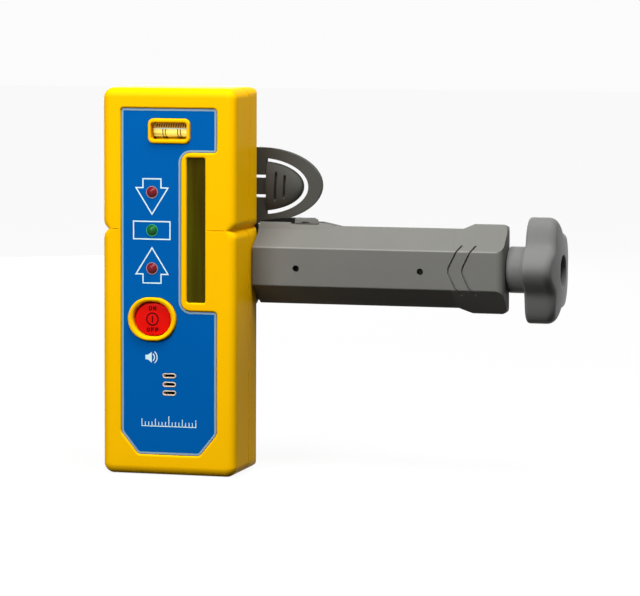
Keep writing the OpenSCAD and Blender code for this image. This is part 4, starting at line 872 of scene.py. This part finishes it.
class RECEIVER_OT_controls(ReceiverOperator):
    """Power button with its dished bezel and printed signs, and the sounder's rims"""

    bl_idname = "receiver.controls"
    bl_label = "Button and sounder"

    def build(self, sizes, finish):
        self.bezel(sizes, finish)
        self.cap(sizes, finish)
        dress_solid("speaker_grille", finish["cream"], 0.16)

    def bezel(self, sizes, finish):
        """A rounded ring carried round the bezel's outline: a round outer edge, a narrow crest
        and a long round slope down to the cap."""
        low, high = span("button_bezel")
        lip, crest = mm(sizes.trim_lip), low[1]
        width, height = front_size("button_bezel", lip)
        cap_w, cap_h = front_size("power_button", CAP_FLANGE)
        centre, back = middle("button_bezel"), high[1]
        clearance, outer, crest_w, rise, dip = 0.3, 0.34, 0.06, 1.1, 1.5
        ring = np.array([(width - cap_w) / 2, (height - cap_h) / 2]) - clearance
        edge, slope = np.radians(np.linspace(0, 90, 7)), np.radians(np.linspace(0, 80, 8))
        inner = outer + crest_w + (1 - outer - crest_w) * np.sin(slope) / np.sin(slope[-1])
        share = [0, *(outer * (1 - np.cos(edge))), *inner, 1]
        depth = [back, *(crest + rise * (1 - np.sin(edge))), *(crest + dip * (1 - np.cos(slope))), back]
        skin = Skin()
        loops = [stadium(centre, width - 2 * ring[0] * s, height - 2 * ring[1] * s) for s in share]
        skin.rings([*loops, loops[0]], [*depth, back])
        skin.piece("button_bezel_ring", "receiver", finish["yellow"], "yellow_plastic", ["button_bezel"])

    def cap(self, sizes, finish):
        """A cap with a round edge and a low dome, and its printed signs laid on the dome."""
        low, high = span("power_button")
        width, height = front_size("power_button", CAP_FLANGE)
        centre = middle("power_button")
        edge, dome, sunk, front = 1.0, 0.55, 0.05, low[1]

        def dome_y(x, z):
            """Depth of the dome, which falls back with the square of the way to the edge."""
            way = ((x - centre[0]) / (width / 2)) ** 2 + ((z - centre[1]) / (height / 2)) ** 2
            return front + dome * np.clip(way, 0, 1)

        step, drop = fillet(edge, 6)
        skin = Skin()
        rings = [stadium(centre, width, height)]
        depths = [high[1]]
        for inset, y in zip(step[::-1], drop[::-1]):
            loop = stadium(centre, width - 2 * inset, height - 2 * inset)
            rings.append(loop)
            depths.append(dome_y(loop[:, 0], loop[:, 1]) + y)
        flat_loop = rings[-1]
        for share in np.linspace(1, 0, 12)[1:]:
            loop = centre + (flat_loop - centre) * share
            rings.append(loop)
            depths.append(dome_y(loop[:, 0], loop[:, 1]))
        skin.rings(rings, depths)
        skin.flat(rings[0], [], high[1])
        skin.piece("power_button_cap", "button", finish["red"], "red_cap", ["power_button"])

        def lay(points):
            """Moves points from a flat face onto the dome."""
            points = points.copy()
            points[:, 1] += dome_y(points[:, 0], points[:, 2])
            return points

        signs = plates(self.signs(centre), -mm(sizes.print_t), sunk)
        signs.piece("button_signs", "button", finish["maroon"], "red_cap", warp=lay)

    def signs(self, centre):
        """The power sign, a ring with an upright bar, between the words ON and OFF."""
        ring_outer, ring_inner, bar_half = 2.85, 2.25, np.array([0.3, 1.5])
        tall, wide, stroke, space, on_z, off_z = 1.9, 1.45, 0.48, 0.45, 3.6, -5.5
        yield circle(centre, ring_outer), circle(centre, ring_inner)
        yield (rectangle_about(centre, bar_half),)
        for word, z in (("ON", on_z), ("OFF", off_z)):
            x = -(len(word) * (wide + space) - space) / 2
            for letter in word:
                for part in self.letter(letter, tall, wide, stroke):
                    yield tuple(loop + centre + (x, z) for loop in part)
                x += wide + space

    def letter(self, letter, tall, wide, stroke):
        """Bars of one letter, from its lower left corner."""
        corner_r, corner_steps, bar_share, lower_share = 0.6, 5, 0.92, 0.6
        if letter == "O":
            box = rectangle(0, 0, wide, tall)
            yield tuple(rounded_outline(box, corner_r, grow, corner_steps) for grow in (0, -stroke))
            return
        yield (rectangle(0, 0, stroke, tall),)
        if letter == "N":
            yield (rectangle(wide - stroke, 0, wide, tall),)
            yield (np.array([(wide - stroke, 0), (wide, 0), (stroke, tall), (0, tall)]),)
        else:
            for top in (tall, tall * lower_share):
                yield (rectangle(stroke, top - stroke, wide * bar_share, top),)


class RECEIVER_OT_lamps_and_window(ReceiverOperator):
    """Three lamps with their collars, and the dark filter pane over the detector"""

    bl_idname = "receiver.lamps_and_window"
    bl_label = "Lamps and window"

    def build(self, sizes, finish):
        for lamp, tint in LAMPS.items():
            dress_solid(lamp, finish[tint], 0.0)
        self.collars(sizes, finish)
        tint = bpy.context.scene.receiver_colours.pane
        dress_solid("sensor_window", filter_pane_material(tint), 0.1)

    def collars(self, sizes, finish):
        """A thin ring with a round edge on the shoulder of each lamp's dome."""
        proud, under, setback = 0.1, 0.25, 1.15
        seat = span("high_led")[0][1] + setback
        outer, inner = mm(sizes.led_r) + proud, mm(sizes.led_r) - under
        angle = np.radians(np.linspace(0, 360, 13))[:-1]
        middle_r, half_r = (outer + inner) / 2, (outer - inner) / 2
        for lamp, tint in LAMPS.items():
            skin, centre = Skin(), middle(lamp)
            loops = [circle(centre, middle_r + half_r * math.cos(turn)) for turn in angle]
            depths = [seat - half_r * math.sin(turn) for turn in angle]
            skin.rings([*loops, loops[0]], [*depths, depths[0]])
            skin.piece(lamp + "_collar", "receiver", finish[tint.replace("lamp", "collar")])


class RECEIVER_OT_spirit_level(ReceiverOperator):
    """Spirit level: its rounded bezel with a trough, the tube, the liquid and the ruled marks"""

    bl_idname = "receiver.spirit_level"
    bl_label = "Spirit level"

    def build(self, sizes, finish):
        self.bezel(sizes, finish)
        self.marks(finish)
        dress_solid("level_vial", clear("Clear acrylic", (0.98, 0.97, 0.9)), 0.0)
        dress_solid("vial_liquid", finish["liquid"], 0.0)
        dress_solid("vial_bubble", finish["bubble"], 0.0)

    def bezel(self, sizes, finish):
        """A rounded frame carried round the opening, and a trough behind the tube."""
        centre = middle("vial_bezel")
        half = front_size("vial_bezel", mm(sizes.trim_lip)) / 2
        opening, opening_r = np.array([15.8, 7.2]) / 2, 1.2
        outer_edge, inner_edge, edge_steps = 0.8, 0.5, 6
        top, back = span("vial_bezel")[0][1], 3.6
        outer, inner = rectangle_about(centre, half), rectangle_about(centre, opening)
        step, drop = fillet(outer_edge, edge_steps)
        in_step, in_drop = fillet(inner_edge, edge_steps)
        loops = [rounded_outline(outer, VIAL_CORNER_R, -s) for s in step[::-1]]
        loops += [rounded_outline(inner, opening_r, s) for s in in_step]
        depths = [*(top + drop[::-1]), *(top + in_drop)]
        skin = Skin()
        skin.rings([loops[0], *loops, loops[-1], loops[0]], [back, *depths, back, back])
        skin.between(*self.trough(centre, opening[0]))
        skin.piece("vial_bezel_frame", "receiver", finish["yellow"], "yellow_plastic", ["vial_bezel"])

    def trough(self, centre, half_length):
        """Two walls round the back of the tube, as arcs about its axis, longer than the opening."""
        clearance, outside, overrun, wrap, steps = 0.25, 0.75, 0.2, 100, 20
        axis, radius = self.tube()
        angle = np.radians(np.linspace(-wrap, wrap, steps + 1))
        reach = half_length + overrun
        x = np.linspace(-reach, reach, 3) + centre[0]
        for r in (radius + clearance, radius + outside):
            arc = np.stack([axis[1] + r * np.cos(angle), centre[1] + r * np.sin(angle)], 1)
            yield np.stack([np.column_stack([np.full(steps + 1, at), arc]) for at in x])

    def tube(self):
        """Middle and radius of the level's tube."""
        low, high = span("level_vial")
        return (low + high) / 2, (high[2] - low[2]) / 2

    def marks(self, finish):
        """Rings on the tube beside the bubble, a row of slanted ticks above it on a strip, and a white
        strip under the ticks that paints the highlight along the tube's top.
        """
        axis, radius = self.tube()
        steps, half, inner, outer = 40, 0.17, radius - 0.1, radius + 0.05
        ring = circle((0, 0), 1.0, steps)
        section = ((-half, inner), (-half, outer), (half, outer), (half, inner), (-half, inner))
        skin = Skin()
        for at in (-3.9, -2.7, 2.7, 3.9):
            rows = []
            for shift, r in section:
                x = np.full(steps, axis[0] + at + shift)
                rows.append(np.column_stack([x, axis[1:] + r * ring]))
            skin.grid(rows)
        tick_half, tick_h, lean, tick_low, tick_step, tick_count = 0.2, 1.5, 0.35, 1.45, 1.05, 6
        strip_half, strip_low, strip_high, strip_y, strip_back = 7.3, 1.2, 3.15, 3.15, 3.5
        glint_half, glint_low, glint_proud, tick_proud = 7.4, 0.75, 0.05, 0.1
        centre = axis[[0, 2]]
        tick = np.array([(-tick_half, 0), (tick_half, 0),
                         (lean + tick_half, tick_h), (lean - tick_half, tick_h)])
        for i in range(-tick_count, tick_count + 1):
            place = centre + (i * tick_step, tick_low)
            skin.plate(tick + place, [], strip_y - tick_proud, strip_y)
        skin.piece("vial_marks", "receiver", finish["mark"])
        strip = rectangle(-strip_half, strip_low, strip_half, strip_high) + centre
        plates([(strip,)], strip_y, strip_back).piece("vial_scale_strip", "receiver", finish["scale"])
        # A white strip painted as the highlight along the top of the tube.
        line = rectangle(-glint_half, glint_low, glint_half, strip_low) + centre
        under = plates([(line,)], strip_y - glint_proud, strip_back)
        under.piece("vial_painted_glint", "receiver", finish["ink"])


class RECEIVER_OT_clamp(ReceiverOperator):
    """Clamp plate, arm with its saddle and stop tab, jaws, pads and their fasteners"""

    bl_idname = "receiver.clamp"
    bl_label = "Clamp"

    def build(self, sizes, finish):
        dress_solid("arm_housing", finish["arm"], 0.35, 48)
        dress_solids(finish, {
            "clamp_plate": ("dark", 0.5),
            "fixed_jaw": ("grey", 0.5),
            "moving_jaw": ("grey", 0.5),
            "fixed_jaw_pad": ("rubber", 0.4),
            "moving_jaw_pad": ("rubber", 0.4),
            "arm_pins": ("black", 0.1),
            "guide_strip": ("black", 0.1),
            "plate_screws": ("steel", 0.15),
            "tongue_pin": ("steel", 0.15),
            "thrust_ring": ("steel", 0.15),
            "knob_screw": ("steel", 0.15),
            "tail_bush": ("bronze", 0.1),
            "collar_bush": ("bronze", 0.1),
            "jaw_nut": ("brass", 0.15),
        })
        ridge_y, axis_z = screw_axis()
        self.saddle(finish, ridge_y, axis_z + ARM_RIDGE_H)
        self.stop_tab(finish, ridge_y, axis_z + ARM_RIDGE_H)

    def saddle(self, finish, ridge_y, ridge_z):
        """A low pad along the upper ridge beside the body: a section that leaves the facet, bends
        level and drops behind, whose height falls to nothing as the square of the way along."""
        start, level_end, end, height = 29.8, 55.0, 65.5, 2.2
        seat, overlap, root, run_out = 0.9, 0.15, 0.6, 0.4
        level = np.linspace(start + 0.2, level_end, 12)
        x = np.concatenate([[start], level, np.linspace(level_end, end, 24)[1:]])[:, None]
        rise = height * (1 - np.clip((x - level_end) / (end - level_end), 0, 1) ** 2)
        across = np.array([-7.0, -5.0, -3.6, -2.6, -1.8, -1.0, 0.0, 0.25, 0.25])
        share = np.array([0.0, 0.16, 0.42, 0.68, 0.88, 0.98, 1.0, 0.9, 0.0])
        facet = ridge_z - seat + ARM_FACET_SLOPE * np.minimum(across, 0.0)
        top = ridge_z - seat + rise
        z = facet - overlap + (top - facet + overlap) * share * np.clip(rise / run_out, 0, 1)
        rows = np.stack([*np.broadcast_arrays(x, ridge_y + across, z)], -1)
        under = rows.copy()
        under[..., 2] = facet - root
        skin = Skin()
        skin.between(rows, under)
        skin.piece("arm_saddle", "receiver", finish["grey"], "grey_plastic", sharp=50)

    def stop_tab(self, finish, ridge_y, ridge_z):
        """A thin tab with a slanted end and a slit, and in black a post beside it, a plate behind the
        slit that is painted shade to make the slit look dark, and a web from the post along the ridge to
        the body."""
        left, right, low, high, slant, corner_r = 45.7, 56.4, ridge_z + 0.9, ridge_z + 2.9, 1.2, 0.3
        corners = [(left, low), (right, low), (right - slant, high), (left, high)]
        outline = rounded_outline(corners, corner_r)
        slit = np.array([(48.0, 0.25), (50.2, 0.2), (52.6, 0.3), (51.4, 0.75), (49.2, 0.8)]) + (0, low)
        tab = plates([(outline, slit)], ridge_y - 2.4, ridge_y - 0.2)
        tab.piece("stop_tab", "receiver", finish["grey"], "grey_plastic")
        post_left, post_right, post_proud = 44.2, 45.5, 0.1
        slit_left, slit_right, slit_h = 47.8, 52.8, 0.9
        foot, web_x, bend_x, body_x, body_z = ridge_z - 0.6, 44.6, 39.5, 30.0, ridge_z + 1.7
        upright = rectangle(post_left, low, post_right, high + post_proud)
        # Black plate behind the slit: painted shade that makes the slit look dark.
        slit_shade_plate = rectangle(slit_left, low, slit_right, low + slit_h)
        web = np.array([(body_x, foot), (web_x, foot), (web_x, high), (bend_x, high), (body_x, body_z)])
        post = Skin()
        for shape, front, back in ((upright, -2.2, -0.2), (slit_shade_plate, -1.2, -0.6), (web, -0.8, 0.2)):
            post.plate(shape, [], ridge_y + front, ridge_y + back)
        post.piece("stop_post", "receiver", finish["black"], "black_plastic")


class RECEIVER_OT_tongue(ReceiverOperator):
    """Release tongue: a thumb pad with two grooves, on its flexing neck"""

    bl_idname = "receiver.tongue"
    bl_label = "Release tongue"

    def build(self, sizes, finish):
        """The pad is a half ellipse. It swells as a power of the way in from its rim, falls off
        towards its tip as a quarter round, and dips at each groove as a steep bell."""
        low, high = span("release_tongue")
        case_x = span("front_case")[1][0]
        left, centre_x, centre_z = case_x + 2.8, case_x - 0.8, (low[2] + high[2]) / 2
        reach = high[0] - centre_x
        half = (high[2] - low[2]) / 2 / math.sqrt(1 - ((left - centre_x) / reach) ** 2)
        front, back = low[1] + 1.8, high[1]
        swell, swell_power, tip_run, tip_gap = 2.6, 0.7, 7.0, 0.02
        groove, groove_half, groove_lean, groove_run = 1.9, 0.4, 0.04, 0.8
        along = 1 - (1 - np.linspace(0, 1, 110)) ** 1.6
        x = left + (high[0] - tip_gap - left) * along
        across = np.sin(np.linspace(-1, 1, 41) * np.pi / 2)
        rim = half * np.sqrt(1 - ((x - centre_x) / reach) ** 2)
        z = rim[:, None] * across
        x = np.broadcast_to(x[:, None], z.shape)
        tip = np.clip((high[0] - x) / tip_run, 0, 1)
        pillow = swell * (1 - across**2) ** swell_power * np.sqrt(1 - (1 - tip) ** 2)
        for at, share in ((case_x + 7.0, 0.56), (case_x + 11.0, 0.46)):
            line = np.exp(-(((x - at - groove_lean * z) / groove_half) ** 4))
            pillow = pillow - groove * line * np.clip((share * half - np.abs(z)) / groove_run, 0, 1)
        skin = Skin()
        pad_front = np.stack([x, front - pillow, centre_z + z], -1)
        pad_back = np.stack([x, np.full(x.shape, back), centre_z + z], -1)
        skin.between(pad_front, pad_back)
        self.neck(skin, left, centre_z, back)
        skin.piece(
            "release_tongue_pad", "tongue", finish["dark"], "dark_plastic", ["release_tongue"], sharp=50
        )

    def neck(self, skin, left, centre_z, back):
        """The neck from the pad back to the barrel round its pin: a flat bar with a round end."""
        pin_low, pin_high = span("tongue_pin")
        pin_x, pin_y = (pin_low + pin_high)[:2] / 2
        thick, half, end_x = back - pin_y, 3.6, left + 0.6
        angle = np.radians(np.linspace(90, 270, 15))
        barrel = np.stack([pin_x + thick * np.cos(angle), pin_y + thick * np.sin(angle)], 1)
        ends = np.array([[end_x, pin_y - thick], [end_x, pin_y + thick]])
        section = np.vstack([barrel, ends])
        rows = [np.column_stack([section, np.full(len(section), centre_z + s * half)]) for s in (-1, 1)]
        skin.grid(rows)
        for row in rows:
            fan = np.arange(1, len(row) - 1)
            faces = np.stack([np.zeros_like(fan), fan, fan + 1], 1)
            skin.triangles.append(skin.add(row) + faces)


class RECEIVER_OT_knob(ReceiverOperator):
    """Lobed hand knob on its neck, and the threaded clamp screw"""

    bl_idname = "receiver.knob"
    bl_label = "Knob and screw"

    def build(self, sizes, finish):
        self.knob(finish)
        self.screw(finish)

    def knob(self, finish):
        """Rings round the axis: a round neck, a hollow root, and a lobed head whose radius swings
        five times a turn, with round edges, a crowned end and a round recess."""
        low, high = span("knob")
        axis = screw_axis()
        neck_r, neck_edge, root, recess_r, recess_d, mouth_r = 9.9, 0.4, 1.2, 6.6, 4.0, 0.5
        lobe_r, valley_r, lobes, turned = 23.3, 17.6, 5, 4.0
        soft_edge, back_edge, crown, head_x = 3.4, 1.6, 2.2, low[0] + 8.8
        angle = np.linspace(0, 2 * np.pi, 180, endpoint=False)
        swing = np.cos(lobes * (angle - math.radians(turned)))
        outline = (lobe_r + valley_r) / 2 + (lobe_r - valley_r) / 2 * swing
        rows = []

        def ring(x, radius):
            """One ring at x; the angle is counted from straight ahead towards the top."""
            spoke = np.stack([-np.cos(angle), np.sin(angle)], 1)
            around = axis + np.broadcast_to(radius, angle.shape)[:, None] * spoke
            rows.append(np.column_stack([np.broadcast_to(x, angle.shape), around]))

        ring(low[0], 0.0)
        ring(low[0], neck_r - neck_edge)
        ring(low[0] + neck_edge, neck_r)
        for turn in np.radians(np.linspace(0, 90, 6)):
            ring(head_x - root + root * math.sin(turn), neck_r + root * (1 - math.cos(turn)))
        step, drop = fillet(back_edge, 6)
        for inset, x in zip(step, drop):
            ring(head_x + x, outline - inset)

        def end_profile(radius):
            """The end turned about the axis: a dome that falls with the square of the radius."""
            return high[0] - crown * (radius / lobe_r) ** 2

        step, drop = fillet(soft_edge, 7)
        for inset, x in zip(step[::-1], drop[::-1]):
            ring(end_profile(outline - inset) - x, outline - inset)
        for share in np.linspace(0, 1, 11)[1:]:
            radius = (outline - soft_edge) * (1 - share) + (recess_r + mouth_r) * share
            ring(end_profile(radius), radius)
        mouth_x = rows[-1][0, 0]
        for turn in np.radians(np.linspace(0, 90, 5))[1:]:
            ring(mouth_x - mouth_r * (1 - math.cos(turn)), recess_r + mouth_r * (1 - math.sin(turn)))
        ring(mouth_x - recess_d, recess_r)
        ring(mouth_x - recess_d, 0.0)
        skin = Skin()
        skin.grid(rows)
        skin.piece("hand_knob", "screw", finish["knob"], "knob_plastic", ["knob"])

    def screw(self, finish):
        """A left-hand thread between a plain tail and shank: the radius follows the place along the
        axis less a pitch for each turn. Crest, root and each flank take a quarter of the pitch."""
        low, high = span("lead_screw")
        axis = screw_axis()
        crest, depth, pitch, tail, shank, run_out = 4.0, 0.9, 3.0, 3.0, 5.0, 1.5
        steps, rows_per_pitch = 48, 14
        start, end = span("tail_bush")[1][0] + 0.3, span("thrust_ring")[0][0] - 2.0
        angle = np.linspace(0, 2 * np.pi, steps, endpoint=False)
        x = np.arange(start, end, pitch / rows_per_pitch)
        phase = (x[:, None] / pitch - angle / (2 * np.pi)) % 1
        tooth = np.clip(np.abs(phase - 0.5) * 4 - 0.5, 0, 1)
        fade = np.clip(np.minimum(x - start, end - x) / run_out, 0, 1)[:, None]
        thread = crest - depth * (1 - tooth * fade)
        tail_r, shank_r = np.array([0.0, tail, tail]), np.array([shank, shank, 0.0])
        plain = [np.repeat(r[:, None], steps, 1) for r in (tail_r, shank_r)]
        radius = np.vstack([plain[0], thread, plain[1]])
        at = np.concatenate([[low[0], low[0], start], x, [end, high[0], high[0]]])[:, None]
        y, z = axis[0] + radius * np.sin(angle), axis[1] + radius * np.cos(angle)
        skin = Skin()
        skin.grid(np.stack([*np.broadcast_arrays(at, y, z)], -1))
        skin.piece("threaded_screw", "screw", finish["steel"], "steel", ["lead_screw"], sharp=50)


class RECEIVER_OT_inner_works(ReceiverOperator):
    """Boards, detector cells, switch, sounder and batteries"""

    bl_idname = "receiver.inner_works"
    bl_label = "Inner works"

    def build(self, sizes, finish):
        dress_solids(finish, {
            "sensor_board": ("board", 0.15),
            "main_board": ("board", 0.15),
            "photodiodes": ("silicon", 0.15),
            "board_spacers": ("steel", 0.15),
            "board_screws": ("steel", 0.15),
            "tact_switch": ("black", 0.15),
            "buzzer": ("black", 0.15),
            "battery_box": ("black", 0.15),
            "battery_cells": ("sleeve", 0.15),
            "contact_springs": ("steel", 0.15),
            "contact_plates": ("steel", 0.15),
        })


class RECEIVER_OT_stage(ReceiverOperator):
    """Pale floor, soft studio lights, white surroundings and the camera"""

    bl_idname = "receiver.stage"
    bl_label = "Stage"

    def build(self, sizes, finish):
        self.floor()
        self.world()
        target = Vector(CAD_BOX[0]).lerp(Vector(CAD_BOX[1]), 0.5)
        self.lamp("Key light", target, (0.16, -0.26, 0.75), (0.45, 0.35), 6.7)
        self.lamp("Front light", target, (-0.25, -0.75, 0.5), (0.36, 0.36), 6.9)
        self.lamp("Side light", target, (0.85, 0.15, 0.4), (0.4, 0.4), 1.3)
        self.lamp("Back light", target, (-0.6, 1.0, 0.12), (0.6, 0.5), 6.5)
        self.camera()

    def floor(self):
        """A flat floor under the receiver's base, white to the eye and dark to diffuse light."""
        size, low, own_light = 6.0, CAD_BOX[0][2] - 0.0002, 0.93
        corners = [(x * size, y * size, low) for x, y in ((-1, -1), (1, -1), (1, 1), (-1, 1))]
        made = bpy.data.meshes.new("Floor")
        made.from_pydata(corners, [], [(0, 1, 2, 3)])
        obj = bpy.data.objects.new("Floor", made)
        bpy.context.scene.collection.objects.link(obj)
        paint = bpy.data.materials.new("Pale floor")
        paint.use_nodes = True
        tree = paint.node_tree
        tree.nodes.clear()
        matt = add_node(tree, "ShaderNodeBsdfDiffuse", Color=(0.03, 0.03, 0.03, 1.0))
        pale = add_node(tree, "ShaderNodeBsdfDiffuse", Color=(0.9, 0.9, 0.9, 1.0))
        white = add_node(tree, "ShaderNodeEmission", Color=(1.0, 1.0, 1.0, 1.0), Strength=1.0)
        shaded = add_node(
            tree, "ShaderNodeMixShader", None, own_light, pale.outputs[0], white.outputs[0]
        )
        shown = self.pale_background(tree, shaded.outputs[0], matt.outputs[0])
        add_node(tree, "ShaderNodeOutputMaterial", Surface=shown)
        made.materials.append(paint)

    def pale_background(self, tree, white, lit):
        """One white look to the eye, in reflections and through glass, and another to diffuse light."""
        path = tree.nodes.new("ShaderNodeLightPath")
        shown = lit
        for ray in ("Is Camera Ray", "Is Glossy Ray", "Is Transmission Ray"):
            mixed = add_node(tree, "ShaderNodeMixShader", None, path.outputs[ray], shown, white)
            shown = mixed.outputs[0]
        return shown

    def world(self):
        """White surroundings to the eye, and a sky that falls from bright above to dark below."""
        made = bpy.data.worlds.new("Studio")
        made.use_nodes = True
        bpy.context.scene.world = made
        tree = made.node_tree
        tree.nodes.clear()
        white = add_node(tree, "ShaderNodeBackground", Color=(1.0, 1.0, 1.0, 1.0), Strength=0.97)
        place = tree.nodes.new("ShaderNodeTexCoord").outputs["Generated"]
        way = add_node(tree, "ShaderNodeSeparateXYZ", Vector=place)
        level = add_node(tree, "ShaderNodeMapRange", Value=way.outputs["Z"], From_Min=-1.0)
        stops = [(at, (light, light, light)) for at, light in ((0.5, 0.01), (0.68, 0.08), (1.0, 0.45))]
        sky = colour_ramp(tree, level.outputs[0], stops)
        soft = add_node(tree, "ShaderNodeBackground", Color=sky, Strength=1.0)
        shown = self.pale_background(tree, white.outputs[0], soft.outputs[0])
        add_node(tree, "ShaderNodeOutputWorld", Surface=shown)

    def lamp(self, name, target, place, size, power):
        """A soft rectangular light at a place from the target, aimed at it."""
        light = bpy.data.lights.new(name, "AREA")
        light.shape = "RECTANGLE"
        light.size, light.size_y = size
        light.energy = power
        obj = bpy.data.objects.new(name, light)
        obj.location = target + Vector(place)
        obj.rotation_euler = (-Vector(place)).to_track_quat("-Z", "Y").to_euler()
        bpy.context.scene.collection.objects.link(obj)

    def camera(self):
        """A long lens to the right of the front and a little above it, turned by a slight roll."""
        yaw, lift, roll = (math.radians(angle) for angle in (14.692, 5.2, 0.224))
        target = Vector(ORIGIN) + Vector((66.679, 0.0, -27.051)) * MM
        distance, lens = 1.361468, 182.8125
        back = Vector((math.sin(yaw) * math.cos(lift), -math.cos(yaw) * math.cos(lift), math.sin(lift)))
        level = Vector((math.cos(yaw), math.sin(yaw), 0.0))
        upright = back.cross(level)
        right = level * math.cos(roll) + upright * math.sin(roll)
        up = back.cross(right)
        data = bpy.data.cameras.new("Camera")
        data.lens, data.sensor_width, data.sensor_fit = lens, 36.0, "HORIZONTAL"
        obj = bpy.data.objects.new("Camera", data)
        turned = Matrix((right, up, back)).transposed().to_4x4()
        obj.matrix_world = Matrix.Translation(target + back * distance) @ turned
        bpy.context.scene.collection.objects.link(obj)
        bpy.context.scene.camera = obj


OPERATORS = (
    RECEIVER_OT_front_case,
    RECEIVER_OT_rear_case,
    RECEIVER_OT_face_label,
    RECEIVER_OT_controls,
    RECEIVER_OT_lamps_and_window,
    RECEIVER_OT_spirit_level,
    RECEIVER_OT_clamp,
    RECEIVER_OT_tongue,
    RECEIVER_OT_knob,
    RECEIVER_OT_inner_works,
    RECEIVER_OT_stage,
)


class RECEIVER_PT_panel(bpy.types.Panel):
    """Sidebar panel that lists the receiver's pieces and colours"""

    bl_idname = "RECEIVER_PT_panel"
    bl_label = "Laser receiver"
    bl_space_type = "VIEW_3D"
    bl_region_type = "UI"
    bl_category = "Receiver"

    def draw(self, context):
        column = self.layout.column()
        for operator in OPERATORS:
            column.operator(operator.bl_idname)
        for name in ReceiverColours.__annotations__:
            column.prop(context.scene.receiver_colours, name)


CLASSES = (ReceiverSizes, ReceiverColours, *OPERATORS, RECEIVER_PT_panel)


def register():
    """Registers the classes and puts the sizes and colours on the scene."""
    for made in CLASSES:
        bpy.utils.register_class(made)
    bpy.types.Scene.receiver_sizes = PointerProperty(type=ReceiverSizes)
    bpy.types.Scene.receiver_colours = PointerProperty(type=ReceiverColours)


def unregister():
    """Takes the sizes, colours and classes away again."""
    del bpy.types.Scene.receiver_sizes
    del bpy.types.Scene.receiver_colours
    for made in reversed(CLASSES):
        bpy.utils.unregister_class(made)


def main():
    """Builds every piece and the stage."""
    register()
    bpy.context.scene.view_settings.view_transform = "Standard"
    for operator in OPERATORS:
        family, name = operator.bl_idname.split(".")
        getattr(getattr(bpy.ops, family), name)()


if __name__ == "__main__":
    main()
